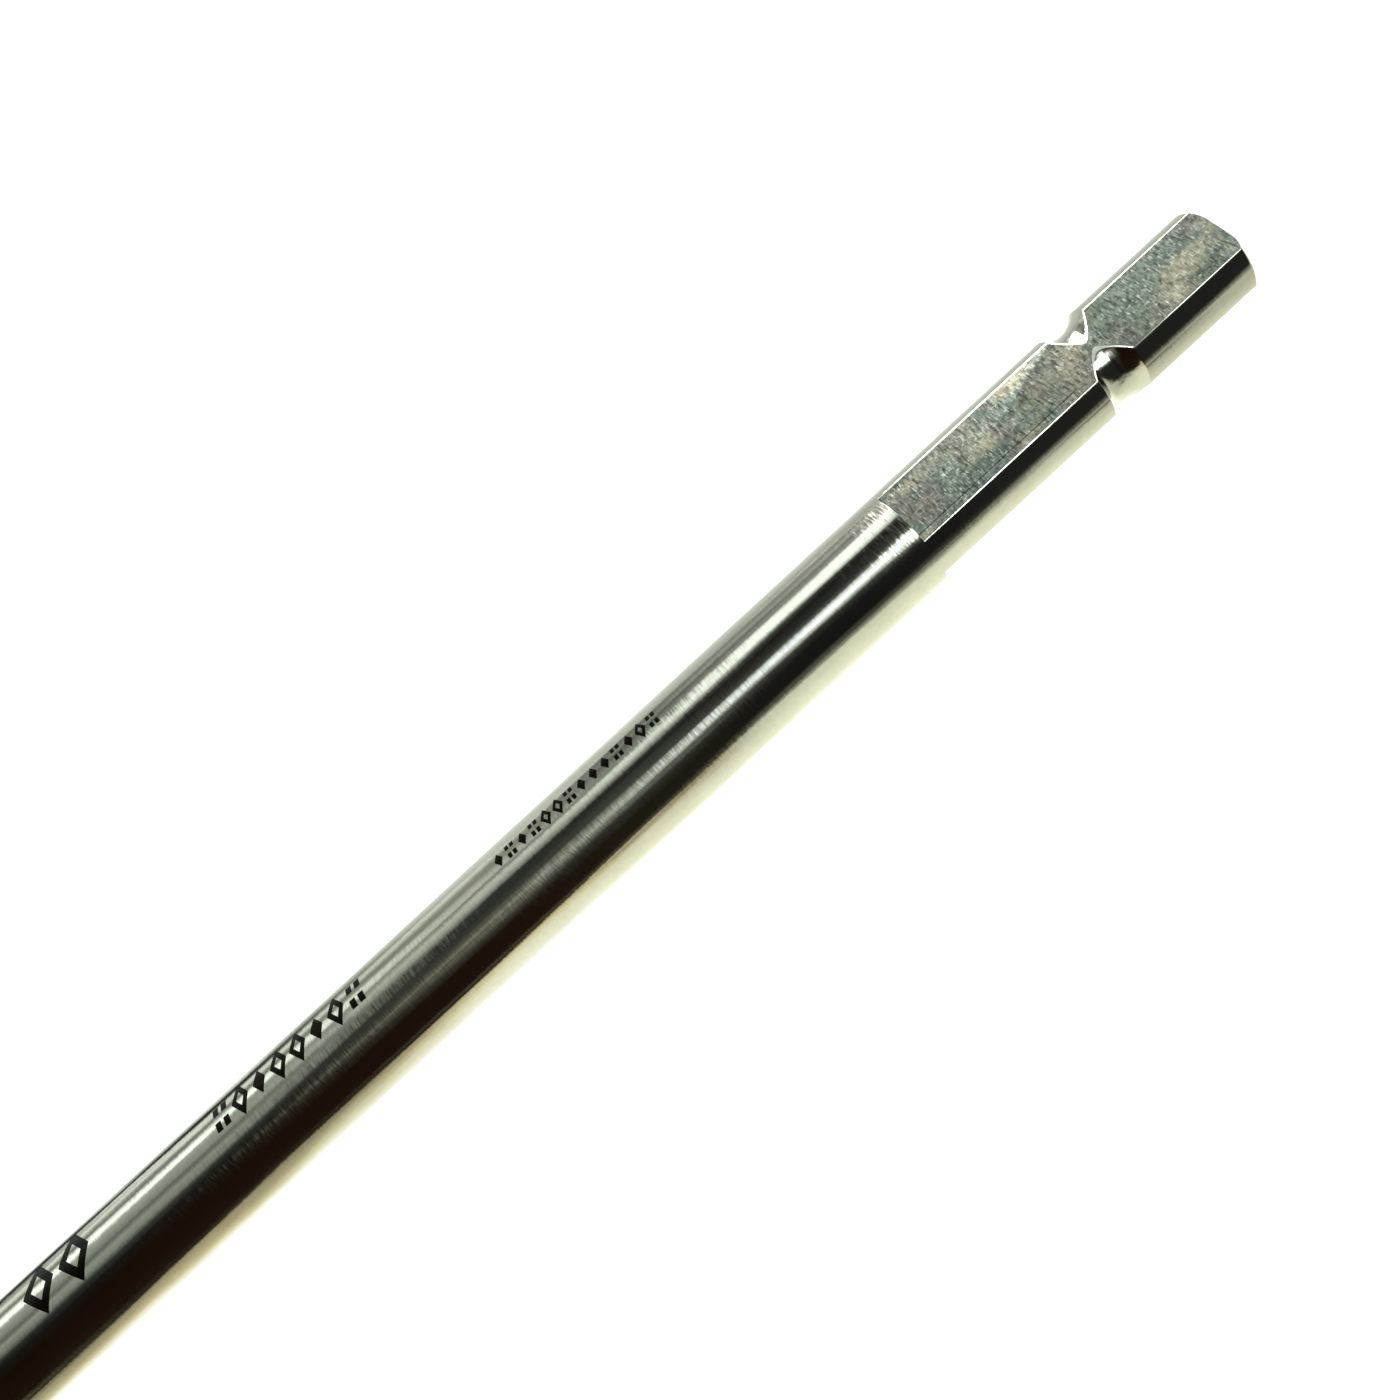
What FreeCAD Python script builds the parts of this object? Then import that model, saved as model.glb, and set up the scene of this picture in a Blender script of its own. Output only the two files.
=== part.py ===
import FreeCAD, Part
import math
import os

from FreeCAD import Vector

# A centre punch for driving by hand or with a mallet through a quick-connect handle.
# A slim round steel shaft has a three-flat drive shank with a ball-detent groove at one
# end.  At the other end a hardened point works through a spring-loaded centring sleeve.
#
# Frame: millimetres, +Z up.  The tool lies along X on a table at z = 0, the shank end
# points to +X and the punch point to -X.  The origin is under the middle of the tool.
# A "station" is a distance along the axis, measured from the shank end.

# ---------------------------------------------------------------- whole tool
TOTAL_LENGTH = 176.0
TRAVEL = 10.0                    # how far the sleeve slides back along the shaft
RUNNING_GAP = 0.03               # radial clearance of the two guide bushings

# ---------------------------------------------------------------- drive shaft
SHAFT_R = 6.35 / 2
END_CHAMFER = 0.3
FLAT_DISTANCE = 2.55             # from the axis to each of the three drive flats
FLAT_LENGTH = 23.5
FLAT_COUNT = 3
GROOVE_STATION = 9.5
GROOVE_DEPTH = 0.56
GROOVE_PROFILE_R = 1.8
RUN_START = 103.5                # from here the shaft is ground slimmer for the sleeve to run on
RUN_R = 3.0
SHOULDER_STATION = 132.0         # the shaft steps down here to carry the spring
STEM_R = 2.0
STEM_END_STATION = 168.0
SPIGOT_R = 1.2
SPIGOT_LENGTH = 9.0

# ---------------------------------------------------------------- punch point
POINT_HALF_ANGLE = 30.0          # a 60 degree centre-punch cone
POINT_TIP_R = 0.10
POINT_PROUD = 2.5                # how far the point stands out of the nose at rest
LOCK_PIN_STATION = 164.5
LOCK_PIN_R = 0.5

# ---------------------------------------------------------------- spring and washers
WASHER_THICKNESS = 0.8
WASHER_BORE_R = 2.25
REAR_WASHER_R = 2.95
FRONT_WASHER_R = 3.4
SPRING_MEAN_R = 2.6
SPRING_WIRE_R = 0.3

# ---------------------------------------------------------------- sleeve
SLEEVE_START = 115.0
SLEEVE_END = 160.0
SLEEVE_R = 4.6
SLEEVE_BORE_R = 3.5
SLEEVE_NECK_R = 4.3              # turned down under the collar
WINDOW_COUNT = 4
WINDOW_WIDTH = 2.4
WINDOW_START = 137.0
WINDOW_END = 150.0
WINDOW_TURN = 45.0

# ---------------------------------------------------------------- collar
COLLAR_START = 114.0
COLLAR_END = 124.5
COLLAR_R = 6.2
COLLAR_CHAMFER = 0.7
COLLAR_LIP_BORE_R = 3.5
SCALLOP_COUNT = 6
SCALLOP_CUTTER_R = 3.0
SCALLOP_FLOOR_R = 5.3
SET_SCREW_STATION = 119.5
SET_SCREW_R = 0.9
SET_SCREW_SINK = 0.25
SET_SCREW_KEY = 0.9              # across the flats of the hexagon socket
SET_SCREW_KEY_DEPTH = 0.8

# ---------------------------------------------------------------- guides
REAR_BUSHING_R = 3.8
REAR_BUSHING_LENGTH = 7.5
GUIDE_PIN_STATION = 128.0
GUIDE_PIN_R = 0.8
GUIDE_PIN_FOOT_R = 2.1           # how near the pin's inner end comes to the axis
SLOT_SIDE_GAP = 0.05
SLOT_FLOOR_R = 2.0

# ---------------------------------------------------------------- nose
SPIGOT_THREAD_R = 4.0
SPIGOT_THREAD_START = 154.0
NOSE_FLANGE_LENGTH = 2.0
NOSE_CONE_END = 169.5
NOSE_PILOT_R = 2.9
NOSE_PILOT_CHAMFER = 0.35
NOSE_BORE_R = 2.3
FRONT_BUSHING_R = 3.4
FRONT_BUSHING_END = 164.5

# ---------------------------------------------------------------- worked out from the above
SCALLOP_CUTTER_DISTANCE = SCALLOP_FLOOR_R + SCALLOP_CUTTER_R
SCALLOP_HALF_ANGLE = math.acos(
    (COLLAR_R**2 + SCALLOP_CUTTER_DISTANCE**2 - SCALLOP_CUTTER_R**2)
    / (2 * COLLAR_R * SCALLOP_CUTTER_DISTANCE)
)
# The collar lies on the two ridges beside its lowest scallop.
AXIS_Z = COLLAR_R * math.cos(SCALLOP_HALF_ANGLE)
NOSE_END = TOTAL_LENGTH - POINT_PROUD
CONE_LENGTH = (STEM_R - POINT_TIP_R) / math.tan(math.radians(POINT_HALF_ANGLE))
REAR_WASHER_END = SHOULDER_STATION + WASHER_THICKNESS
FRONT_WASHER_START = SPIGOT_THREAD_START - WASHER_THICKNESS
CUT_REACH = 10.0                 # longer than any cut that starts at the axis needs


def x_at(station):
    """X of a station."""
    return TOTAL_LENGTH / 2 - station


def on_axis(station):
    """The point of the tool's axis at a station."""
    return Vector(x_at(station), 0, AXIS_Z)


def turned(outline):
    """Solid turned about the tool's axis from (station, radius) corners."""
    corners = [Vector(x_at(station), 0, AXIS_Z + radius) for station, radius in outline]
    face = Part.Face(Part.makePolygon(corners + corners[:1]))
    return face.revolve(Vector(0, 0, AXIS_Z), Vector(1, 0, 0), 360)


def tube(start, end, outer_r, inner_r):
    """Plain ring or tube between two stations."""
    return turned([(start, inner_r), (start, outer_r), (end, outer_r), (end, inner_r)])


def turned_round(shape, degrees):
    """Copy of a shape turned about the tool's axis."""
    copy = shape.copy()
    copy.rotate(Vector(0, 0, AXIS_Z), Vector(1, 0, 0), degrees)
    return copy


def spaced_round(shape, count, first=0.0):
    """Copies of a shape, evenly spaced about the tool's axis."""
    return [turned_round(shape, first + 360.0 * index / count) for index in range(count)]


def upright_pin(station, radius, foot, head):
    """Cylinder across the tool, standing up from radius foot to radius head."""
    base = on_axis(station) + Vector(0, 0, foot)
    return Part.makeCylinder(radius, head - foot, base, Vector(0, 0, 1))


def upright_slot(start, end, half_width, foot, head):
    """Round-ended slot cutter between two stations of its end centres."""
    low = Vector(x_at(end), -half_width, AXIS_Z + foot)
    middle = Part.makeBox(end - start, 2 * half_width, head - foot, low)
    ends = [upright_pin(station, half_width, foot, head) for station in (start, end)]
    return middle.fuse(ends)


def drive_shaft():
    """Ground round bar with its drive shank, detent groove, pin slots and spring stem."""
    bar = turned([
        (0, 0),
        (0, SHAFT_R - END_CHAMFER),
        (END_CHAMFER, SHAFT_R),
        (RUN_START, SHAFT_R),
        (RUN_START, RUN_R),
        (SHOULDER_STATION, RUN_R),
        (SHOULDER_STATION, STEM_R),
        (STEM_END_STATION, STEM_R),
        (STEM_END_STATION, SPIGOT_R),
        (STEM_END_STATION - SPIGOT_LENGTH, SPIGOT_R),
        (STEM_END_STATION - SPIGOT_LENGTH, 0),
    ])
    flat_cut = Part.makeBox(
        FLAT_LENGTH + 1, 2 * SHAFT_R, SHAFT_R,
        Vector(x_at(FLAT_LENGTH), -SHAFT_R, AXIS_Z + FLAT_DISTANCE))
    groove_ring_r = SHAFT_R - GROOVE_DEPTH + GROOVE_PROFILE_R
    groove = Part.makeTorus(
        groove_ring_r, GROOVE_PROFILE_R, on_axis(GROOVE_STATION), Vector(1, 0, 0))
    slot = upright_slot(
        GUIDE_PIN_STATION - TRAVEL, GUIDE_PIN_STATION,
        GUIDE_PIN_R + SLOT_SIDE_GAP, SLOT_FLOOR_R, SHAFT_R + 1)
    lock_hole = upright_pin(LOCK_PIN_STATION, LOCK_PIN_R, -CUT_REACH, CUT_REACH)
    cuts = spaced_round(flat_cut, FLAT_COUNT) + spaced_round(slot, 2)
    return bar.cut(cuts + [groove, lock_hole])


def punch_point():
    """Hardened insert: a spigot held in the stem, and the centre-punch cone."""
    body = turned([
        (STEM_END_STATION - SPIGOT_LENGTH, 0),
        (STEM_END_STATION - SPIGOT_LENGTH, SPIGOT_R),
        (STEM_END_STATION, SPIGOT_R),
        (STEM_END_STATION, STEM_R),
        (TOTAL_LENGTH - CONE_LENGTH, STEM_R),
        (TOTAL_LENGTH, POINT_TIP_R),
        (TOTAL_LENGTH, 0),
    ])
    return body.cut(upright_pin(LOCK_PIN_STATION, LOCK_PIN_R, -CUT_REACH, CUT_REACH))


def point_lock_pin():
    """Cross pin that keeps the insert in the stem, ground just under flush."""
    half_length = STEM_R - 0.1
    return upright_pin(LOCK_PIN_STATION, LOCK_PIN_R, -half_length, half_length)


def rear_spring_washer():
    """Thrust washer against the shaft's shoulder."""
    return tube(SHOULDER_STATION, REAR_WASHER_END, REAR_WASHER_R, WASHER_BORE_R)


def return_spring():
    """Envelope of the compression spring: its coils' outer and inner diameters."""
    return tube(
        REAR_WASHER_END, FRONT_WASHER_START,
        SPRING_MEAN_R + SPRING_WIRE_R, SPRING_MEAN_R - SPRING_WIRE_R)


def front_spring_washer():
    """Thrust washer against the rear of the nose."""
    return tube(FRONT_WASHER_START, SPIGOT_THREAD_START, FRONT_WASHER_R, WASHER_BORE_R)


def centering_sleeve():
    """Outer tube with a neck for the collar, cleaning windows and guide-pin holes."""
    rear_bushing_end = SLEEVE_START + REAR_BUSHING_LENGTH
    body = turned([
        (SLEEVE_START, REAR_BUSHING_R),
        (SLEEVE_START, SLEEVE_NECK_R),
        (COLLAR_END, SLEEVE_NECK_R),
        (COLLAR_END, SLEEVE_R),
        (SLEEVE_END, SLEEVE_R),
        (SLEEVE_END, SPIGOT_THREAD_R),
        (SPIGOT_THREAD_START, SPIGOT_THREAD_R),
        (SPIGOT_THREAD_START, SLEEVE_BORE_R),
        (rear_bushing_end, SLEEVE_BORE_R),
        (rear_bushing_end, REAR_BUSHING_R),
    ])
    window_r = WINDOW_WIDTH / 2
    window = upright_slot(
        WINDOW_START + window_r, WINDOW_END - window_r, window_r, SLEEVE_BORE_R / 2, CUT_REACH)
    pin_hole = upright_pin(GUIDE_PIN_STATION, GUIDE_PIN_R, SLEEVE_BORE_R / 2, CUT_REACH)
    return body.cut(spaced_round(window, WINDOW_COUNT, WINDOW_TURN) + spaced_round(pin_hole, 2))


def sleeve_nose():
    """Nose screwed into the sleeve: a taper down to the pilot that seats in a hole."""
    return turned([
        (SPIGOT_THREAD_START, FRONT_BUSHING_R),
        (SPIGOT_THREAD_START, SPIGOT_THREAD_R),
        (SLEEVE_END, SPIGOT_THREAD_R),
        (SLEEVE_END, SLEEVE_R),
        (SLEEVE_END + NOSE_FLANGE_LENGTH, SLEEVE_R),
        (NOSE_CONE_END, NOSE_PILOT_R),
        (NOSE_END - NOSE_PILOT_CHAMFER, NOSE_PILOT_R),
        (NOSE_END, NOSE_PILOT_R - NOSE_PILOT_CHAMFER),
        (NOSE_END, NOSE_BORE_R),
        (FRONT_BUSHING_END, NOSE_BORE_R),
        (FRONT_BUSHING_END, FRONT_BUSHING_R),
    ])


def rear_bushing():
    """Plastic bushing in the sleeve that runs on the shaft."""
    return tube(
        SLEEVE_START, SLEEVE_START + REAR_BUSHING_LENGTH, REAR_BUSHING_R, RUN_R + RUNNING_GAP)


def front_bushing():
    """Plastic bushing in the nose that runs on the stem."""
    return tube(SPIGOT_THREAD_START, FRONT_BUSHING_END, FRONT_BUSHING_R, STEM_R + RUNNING_GAP)


def grip_collar():
    """Finger collar with scallops, so the sleeve can be pulled back and the tool can't roll."""
    body = turned([
        (COLLAR_START, COLLAR_LIP_BORE_R),
        (COLLAR_START, COLLAR_R - COLLAR_CHAMFER),
        (COLLAR_START + COLLAR_CHAMFER, COLLAR_R),
        (COLLAR_END - COLLAR_CHAMFER, COLLAR_R),
        (COLLAR_END, COLLAR_R - COLLAR_CHAMFER),
        (COLLAR_END, SLEEVE_NECK_R),
        (SLEEVE_START, SLEEVE_NECK_R),
        (SLEEVE_START, COLLAR_LIP_BORE_R),
    ])
    scallop = Part.makeCylinder(
        SCALLOP_CUTTER_R, COLLAR_END - COLLAR_START + 2,
        on_axis(COLLAR_END + 1) + Vector(0, 0, SCALLOP_CUTTER_DISTANCE), Vector(1, 0, 0))
    screw_hole = upright_pin(SET_SCREW_STATION, SET_SCREW_R, SLEEVE_NECK_R - 1, CUT_REACH)
    cuts = spaced_round(scallop, SCALLOP_COUNT) + spaced_round(screw_hole, 2, 90.0)
    return body.cut(cuts)


def guide_pins():
    """Two pins pressed into the sleeve, which slide in the shaft's slots."""
    pin = upright_pin(GUIDE_PIN_STATION, GUIDE_PIN_R, GUIDE_PIN_FOOT_R, SLEEVE_R)
    return Part.makeCompound(spaced_round(pin, 2))


def collar_set_screws():
    """Two socket set screws that lock the collar on the sleeve."""
    head = COLLAR_R - SET_SCREW_SINK
    body = upright_pin(SET_SCREW_STATION, SET_SCREW_R, SLEEVE_NECK_R, head)
    corner_r = SET_SCREW_KEY / math.sqrt(3)
    floor = on_axis(SET_SCREW_STATION) + Vector(0, 0, head - SET_SCREW_KEY_DEPTH)
    corners = [
        floor + Vector(corner_r * math.cos(turn), corner_r * math.sin(turn), 0)
        for turn in (math.radians(60 * index) for index in range(6))
    ]
    socket = Part.Face(Part.makePolygon(corners + corners[:1])).extrude(Vector(0, 0, 2))
    return Part.makeCompound(spaced_round(body.cut(socket), 2, 90.0))


SUB_PARTS = (
    drive_shaft,
    punch_point,
    point_lock_pin,
    rear_spring_washer,
    return_spring,
    front_spring_washer,
    centering_sleeve,
    sleeve_nose,
    rear_bushing,
    front_bushing,
    grip_collar,
    guide_pins,
    collar_set_screws,
)


def main():
    """Write one STEP file for each sub-part."""
    os.makedirs("parts", exist_ok=True)
    for sub_part in SUB_PARTS:
        shape = sub_part()
        shape.exportStep(os.path.join("parts", sub_part.__name__ + ".step"))
        print(f"{sub_part.__name__}: {len(shape.Solids)} solid(s), {shape.Volume:.1f} mm3")


main()
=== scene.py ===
import logging
import math
from dataclasses import dataclass, replace
from enum import Enum
from typing import Dict, List, Optional, Sequence, Tuple

import bmesh
import bpy
from mathutils import Matrix, Vector


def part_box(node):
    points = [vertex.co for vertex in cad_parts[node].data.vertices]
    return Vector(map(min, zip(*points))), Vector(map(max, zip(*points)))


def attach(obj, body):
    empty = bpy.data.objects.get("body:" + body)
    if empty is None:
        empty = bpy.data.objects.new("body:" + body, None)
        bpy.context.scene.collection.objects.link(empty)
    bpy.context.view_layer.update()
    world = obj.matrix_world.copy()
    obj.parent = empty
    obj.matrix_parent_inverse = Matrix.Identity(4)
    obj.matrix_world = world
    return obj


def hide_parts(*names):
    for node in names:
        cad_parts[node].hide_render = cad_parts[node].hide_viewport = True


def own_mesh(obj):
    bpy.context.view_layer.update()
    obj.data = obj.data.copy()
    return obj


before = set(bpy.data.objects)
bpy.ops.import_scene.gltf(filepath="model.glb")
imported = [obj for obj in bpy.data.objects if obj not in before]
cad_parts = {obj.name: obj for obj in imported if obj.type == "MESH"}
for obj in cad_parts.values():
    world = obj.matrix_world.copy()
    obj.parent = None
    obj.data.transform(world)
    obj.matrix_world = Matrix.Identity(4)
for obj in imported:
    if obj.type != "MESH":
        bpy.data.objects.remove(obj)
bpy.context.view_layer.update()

LOG = logging.getLogger("centre_punch")

Outline = List[Tuple[float, float]]
Mesh = bmesh.types.BMesh
Piece = bpy.types.Object
Tree = bpy.types.NodeTree
Socket = bpy.types.NodeSocket

MM = 0.001

# The tool lies along X. A station is a distance in millimetres from the shank end.
SHANK_END_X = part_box("drive_shaft")[1].x
AXIS_Z = sum(corner.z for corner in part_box("punch_point")) / 2

# Stations and radii that several pieces share, in millimetres.
BAR_R, STEM_R, SPIGOT_R = 3.175, 2.0, 1.2
SPIGOT_START, STEM_START, STEM_END = 159.0, 132.0, 168.0
POINT_PIN_STATION, POINT_PIN_R = 164.5, 0.5
GUIDE_PIN_STATION, GUIDE_PIN_R = 128.0, 0.8
REAR_BUSHING_START, REAR_BUSHING_END, REAR_BUSHING_R = 115.0, 122.5, 3.8
FRONT_BUSHING_START, FRONT_BUSHING_END, FRONT_BUSHING_R = 154.0, 164.5, 3.4
SLEEVE_R, NECK_R, NECK_END, SLEEVE_END, THREAD_R = 4.6, 4.3, 124.5, 160.0, 4.0
# A hole right through the bar or the point is cut from this far under the axis to this far over it.
THROUGH = 4.0

# Points nearer to each other than this, in millimetres, are one point.
WELD = 1e-4
# A measured size within this many millimetres of a named one is that size.
NEAR = 0.01
# How nearly a face's normal matches a flat's for the face to be part of that flat.
SAME_WAY = 0.9999


def station_of(x: float) -> float:
    """The station in millimetres of a place on the frame's X axis."""
    return (SHANK_END_X - x) / MM


def radius_of(point: Vector) -> float:
    """How far a point is from the tool's axis, in millimetres."""
    return math.hypot(point.y, point.z - AXIS_Z) / MM


def at(station: float, radius: float = 0.0) -> Vector:
    """The point of the row frame above the tool's axis, at a station and radius in millimetres."""
    return Vector((SHANK_END_X - station * MM, 0.0, AXIS_Z + radius * MM))


class Body(Enum):
    """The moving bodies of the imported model."""

    PUNCH = "punch"
    SLEEVE = "sleeve"


class Slot(Enum):
    """The record's material slots."""

    POLISHED = "polished_steel"
    SATIN = "satin_steel"
    HARDENED = "hardened_steel"
    SPRING = "spring_steel"
    PLASTIC = "guide_plastic"


# ------------------------------------------------------------------ mesh tools


@dataclass(frozen=True)
class Corner:
    """A corner of a turned outline: its station, radius and rounding in millimetres."""

    station: float
    radius: float
    rounding: float = 0.0


def rounded(corners: Sequence[Corner], closed: bool = False, steps: int = 4) -> Outline:
    """Replaces each corner that has a rounding by an arc.

    Args:
        corners: the outline's corners, in order.
        closed: whether the last corner joins the first.
        steps: how many pieces each arc has.

    Returns:
        The outline's points as (station, radius) pairs in millimetres.
    """
    points: Outline = []
    count = len(corners)
    for index, corner in enumerate(corners):
        here = Vector((corner.station, corner.radius))
        at_end = not closed and index in (0, count - 1)
        if corner.rounding == 0 or at_end:
            points.append(tuple(here))
            continue
        before, after = corners[index - 1], corners[(index + 1) % count]
        back = (Vector((before.station, before.radius)) - here).normalized()
        ahead = (Vector((after.station, after.radius)) - here).normalized()
        half = back.angle(ahead) / 2
        reach = corner.rounding / math.tan(half)
        centre = here + (back + ahead).normalized() * corner.rounding / math.sin(half)
        start, end = here + back * reach - centre, here + ahead * reach - centre
        turn = start.angle(end)
        for step in range(steps + 1):
            share = step / steps
            spoke = start * math.sin((1 - share) * turn) + end * math.sin(share * turn)
            points.append(tuple(centre + spoke / math.sin(turn)))
    return points


def revolved(
    profile: Sequence[Vector], closed: bool, centre: Vector, axis: Tuple[int, int, int],
    segments: int,
) -> Mesh:
    """Spins a profile all the way round an axis into a closed shell.

    Args:
        profile: the profile's points, in order.
        closed: whether the last point joins the first, as in a tube.
        centre: a point on the axis.
        axis: the axis's direction.
        segments: how many faces go round.

    Returns:
        The new mesh, in the row frame.
    """
    mesh = bmesh.new()
    verts = [mesh.verts.new(point) for point in profile]
    pairs = list(zip(verts, verts[1:]))
    if closed:
        pairs.append((verts[-1], verts[0]))
    edges = [mesh.edges.new(pair) for pair in pairs]
    bmesh.ops.spin(
        mesh, geom=verts + edges, cent=centre, axis=axis, dvec=(0, 0, 0),
        angle=2 * math.pi, steps=segments, use_merge=True, use_duplicate=False)
    bmesh.ops.remove_doubles(mesh, verts=mesh.verts, dist=WELD * MM)
    bmesh.ops.recalc_face_normals(mesh, faces=mesh.faces)
    return mesh


def turned(outline: Outline, closed: bool = False, segments: int = 192) -> Mesh:
    """A closed shell turned about the tool's axis from (station, radius) points in millimetres."""
    return revolved([at(*point) for point in outline], closed, at(0), (1, 0, 0), segments)


def swing(mesh: Mesh, centre: Vector, turn: float) -> None:
    """Turns a mesh about the line along X through a centre, in degrees from +Z towards -Y."""
    spun = Matrix.Rotation(math.radians(turn), 4, "X")
    bmesh.ops.rotate(mesh, cent=centre, matrix=spun, verts=mesh.verts)


def crossways(outline: Outline, station: float, turn: float) -> Mesh:
    """Spins an outline about a line that crosses the tool's axis, as for a pin or a screw.

    Args:
        outline: (height over the tool's axis, radius) points in millimetres.
        station: where the line crosses the axis.
        turn: the line's direction round the axis, in degrees from +Z towards -Y.

    Returns:
        The new mesh, in the row frame.
    """
    base = at(station)
    profile = [base + Vector((radius, 0, height)) * MM for height, radius in outline]
    mesh = revolved(profile, False, base, (0, 0, 1), 48)
    swing(mesh, base, turn)
    return mesh


def drill(foot: float, head: float, radius: float, station: float, turn: float) -> Mesh:
    """A cutter for a hole across the tool, from one height over its axis to another."""
    return crossways([(foot, 0), (foot, radius), (head, radius), (head, 0)], station, turn)


def prism(ring: Sequence[Vector], travel: Vector) -> Mesh:
    """Extrudes a ring of points into a closed prism.

    Args:
        ring: the ring's points, in order.
        travel: which way and how far the ring is extruded.

    Returns:
        The new mesh.
    """
    mesh = bmesh.new()
    face = mesh.faces.new([mesh.verts.new(point) for point in ring])
    grown = bmesh.ops.extrude_face_region(mesh, geom=[face])["geom"]
    moved = [item for item in grown if isinstance(item, bmesh.types.BMVert)]
    bmesh.ops.translate(mesh, verts=moved, vec=travel)
    bmesh.ops.recalc_face_normals(mesh, faces=mesh.faces)
    return mesh


def slot_prism(
    first: float, last: float, half_width: float, foot: float, head: float, turn: float,
) -> Mesh:
    """A round-ended upright cutter.

    Args:
        first: station of the end centre nearer the shank, in millimetres.
        last: station of the other end's centre.
        half_width: half the slot's width.
        foot: height over the tool's axis where the cutter starts.
        head: height where it ends.
        turn: the cutter's direction round the axis, in degrees from +Z towards -Y.

    Returns:
        The closed cutter.
    """
    steps = 14
    rims: List[Vector] = []
    for station, begin in ((last, 90), (first, 270)):
        for step in range(steps + 1):
            angle = math.radians(begin + 180 * step / steps)
            offset = Vector((math.cos(angle), math.sin(angle), 0)) * half_width
            rims.append(at(station, foot) + offset * MM)
    mesh = prism(rims, Vector((0, 0, (head - foot) * MM)))
    swing(mesh, at(0), turn)
    return mesh


def rounded_off(
    mesh: Mesh, edges: Sequence[bmesh.types.BMEdge], offset: float, segments: int,
) -> List[bmesh.types.BMFace]:
    """Bevels edges round.

    Args:
        mesh: the mesh that has the edges.
        edges: what is bevelled.
        offset: how far the bevel reaches from an edge, in millimetres.
        segments: how many faces it has across.

    Returns:
        The bevel's faces.
    """
    return bmesh.ops.bevel(
        mesh, geom=edges, offset=offset * MM, offset_type="OFFSET", affect="EDGES",
        segments=segments, profile=0.5, material=-1, clamp_overlap=True)["faces"]


def joined(parts: Sequence[Mesh]) -> Mesh:
    """Puts several meshes into one.

    Args:
        parts: the meshes, which are freed.

    Returns:
        The new mesh.
    """
    whole = bmesh.new()
    for part in parts:
        carrier = bpy.data.meshes.new("carrier")
        part.to_mesh(carrier)
        part.free()
        whole.from_mesh(carrier)
        bpy.data.meshes.remove(carrier)
    return whole


def carved(mesh: Mesh, cutters: Sequence[Mesh]) -> Mesh:
    """Cuts closed cutters out of a closed mesh, and frees them all.

    Args:
        mesh: what is cut.
        cutters: closed shapes that don't overlap each other.

    Returns:
        The cut mesh, with its normals up to date.
    """
    stock = new_object("stock", mesh)
    tool = new_object("tool", joined(cutters))
    cut = stock.modifiers.new("cut", "BOOLEAN")
    cut.operation, cut.solver, cut.object = "DIFFERENCE", "EXACT", tool
    result = evaluated_mesh(stock)
    whole = bmesh.new()
    whole.from_mesh(result)
    for leftover in (stock, tool):
        spent = leftover.data
        bpy.data.objects.remove(leftover)
        bpy.data.meshes.remove(spent)
    bpy.data.meshes.remove(result)
    bmesh.ops.remove_doubles(whole, verts=whole.verts, dist=2 * WELD * MM)
    whole.normal_update()
    return whole


def new_object(name: str, mesh: Mesh) -> Piece:
    """Makes an object of a mesh and puts it in the scene.

    Args:
        name: the object's name.
        mesh: its mesh, which is freed.

    Returns:
        The object.
    """
    data = bpy.data.meshes.new(name)
    mesh.to_mesh(data)
    mesh.free()
    piece = bpy.data.objects.new(name, data)
    bpy.context.scene.collection.objects.link(piece)
    return piece


def evaluated_mesh(piece: Piece) -> bpy.types.Mesh:
    """The piece's mesh with its modifiers applied."""
    graph = bpy.context.evaluated_depsgraph_get()
    return bpy.data.meshes.new_from_object(
        piece.evaluated_get(graph), preserve_all_data_layers=True, depsgraph=graph)


def shaded(piece: Piece, sharp_degrees: float = 30.0) -> Piece:
    """Gives a piece smooth shading that keeps sharp edges crisp and wide faces flat.

    Args:
        piece: the piece, whose mesh is replaced.
        sharp_degrees: the angle between faces at which an edge stays sharp.

    Returns:
        The same piece.
    """
    mesh = bmesh.new()
    mesh.from_mesh(piece.data)
    for face in mesh.faces:
        face.smooth = True
    for edge in mesh.edges:
        edge.smooth = edge.calc_face_angle(0.0) < math.radians(sharp_degrees)
    mesh.to_mesh(piece.data)
    mesh.free()
    weights = piece.modifiers.new("even faces", "WEIGHTED_NORMAL")
    weights.keep_sharp = True
    weights.weight = 100
    finished = evaluated_mesh(piece)
    piece.modifiers.clear()
    spent, piece.data = piece.data, finished
    name = spent.name
    bpy.data.meshes.remove(spent)
    finished.name = name
    return piece


# ------------------------------------------------------------------ material tools


def linear(code: str) -> Tuple[float, float, float, float]:
    """Turns an sRGB hex value such as #A0A090 to a linear colour."""
    channels = [int(code[place:place + 2], 16) / 255 for place in (1, 3, 5)]
    bright = [c / 12.92 if c <= 0.04045 else ((c + 0.055) / 1.055) ** 2.4 for c in channels]
    return (*bright, 1.0)


def bare_material(name: str) -> bpy.types.Material:
    """A new material with an empty node tree."""
    made = bpy.data.materials.new(name)
    made.use_nodes = True
    made.node_tree.nodes.clear()
    return made


def add_node(
    tree: Tree,
    kind: str,
    settings: Optional[Dict[str, object]] = None,
    inputs: Optional[Dict[object, object]] = None,
) -> bpy.types.Node:
    """Adds a node, sets its properties, and fills or links its inputs.

    Args:
        tree: the node tree.
        kind: the node's type.
        settings: the node's properties by name.
        inputs: values, or sockets to link from, by the input's name or number.

    Returns:
        The node.
    """
    node = tree.nodes.new(kind)
    for key, value in (settings or {}).items():
        setattr(node, key, value)
    for key, value in (inputs or {}).items():
        if isinstance(value, Socket):
            tree.links.new(value, node.inputs[key])
        else:
            node.inputs[key].default_value = value
    return node


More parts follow.
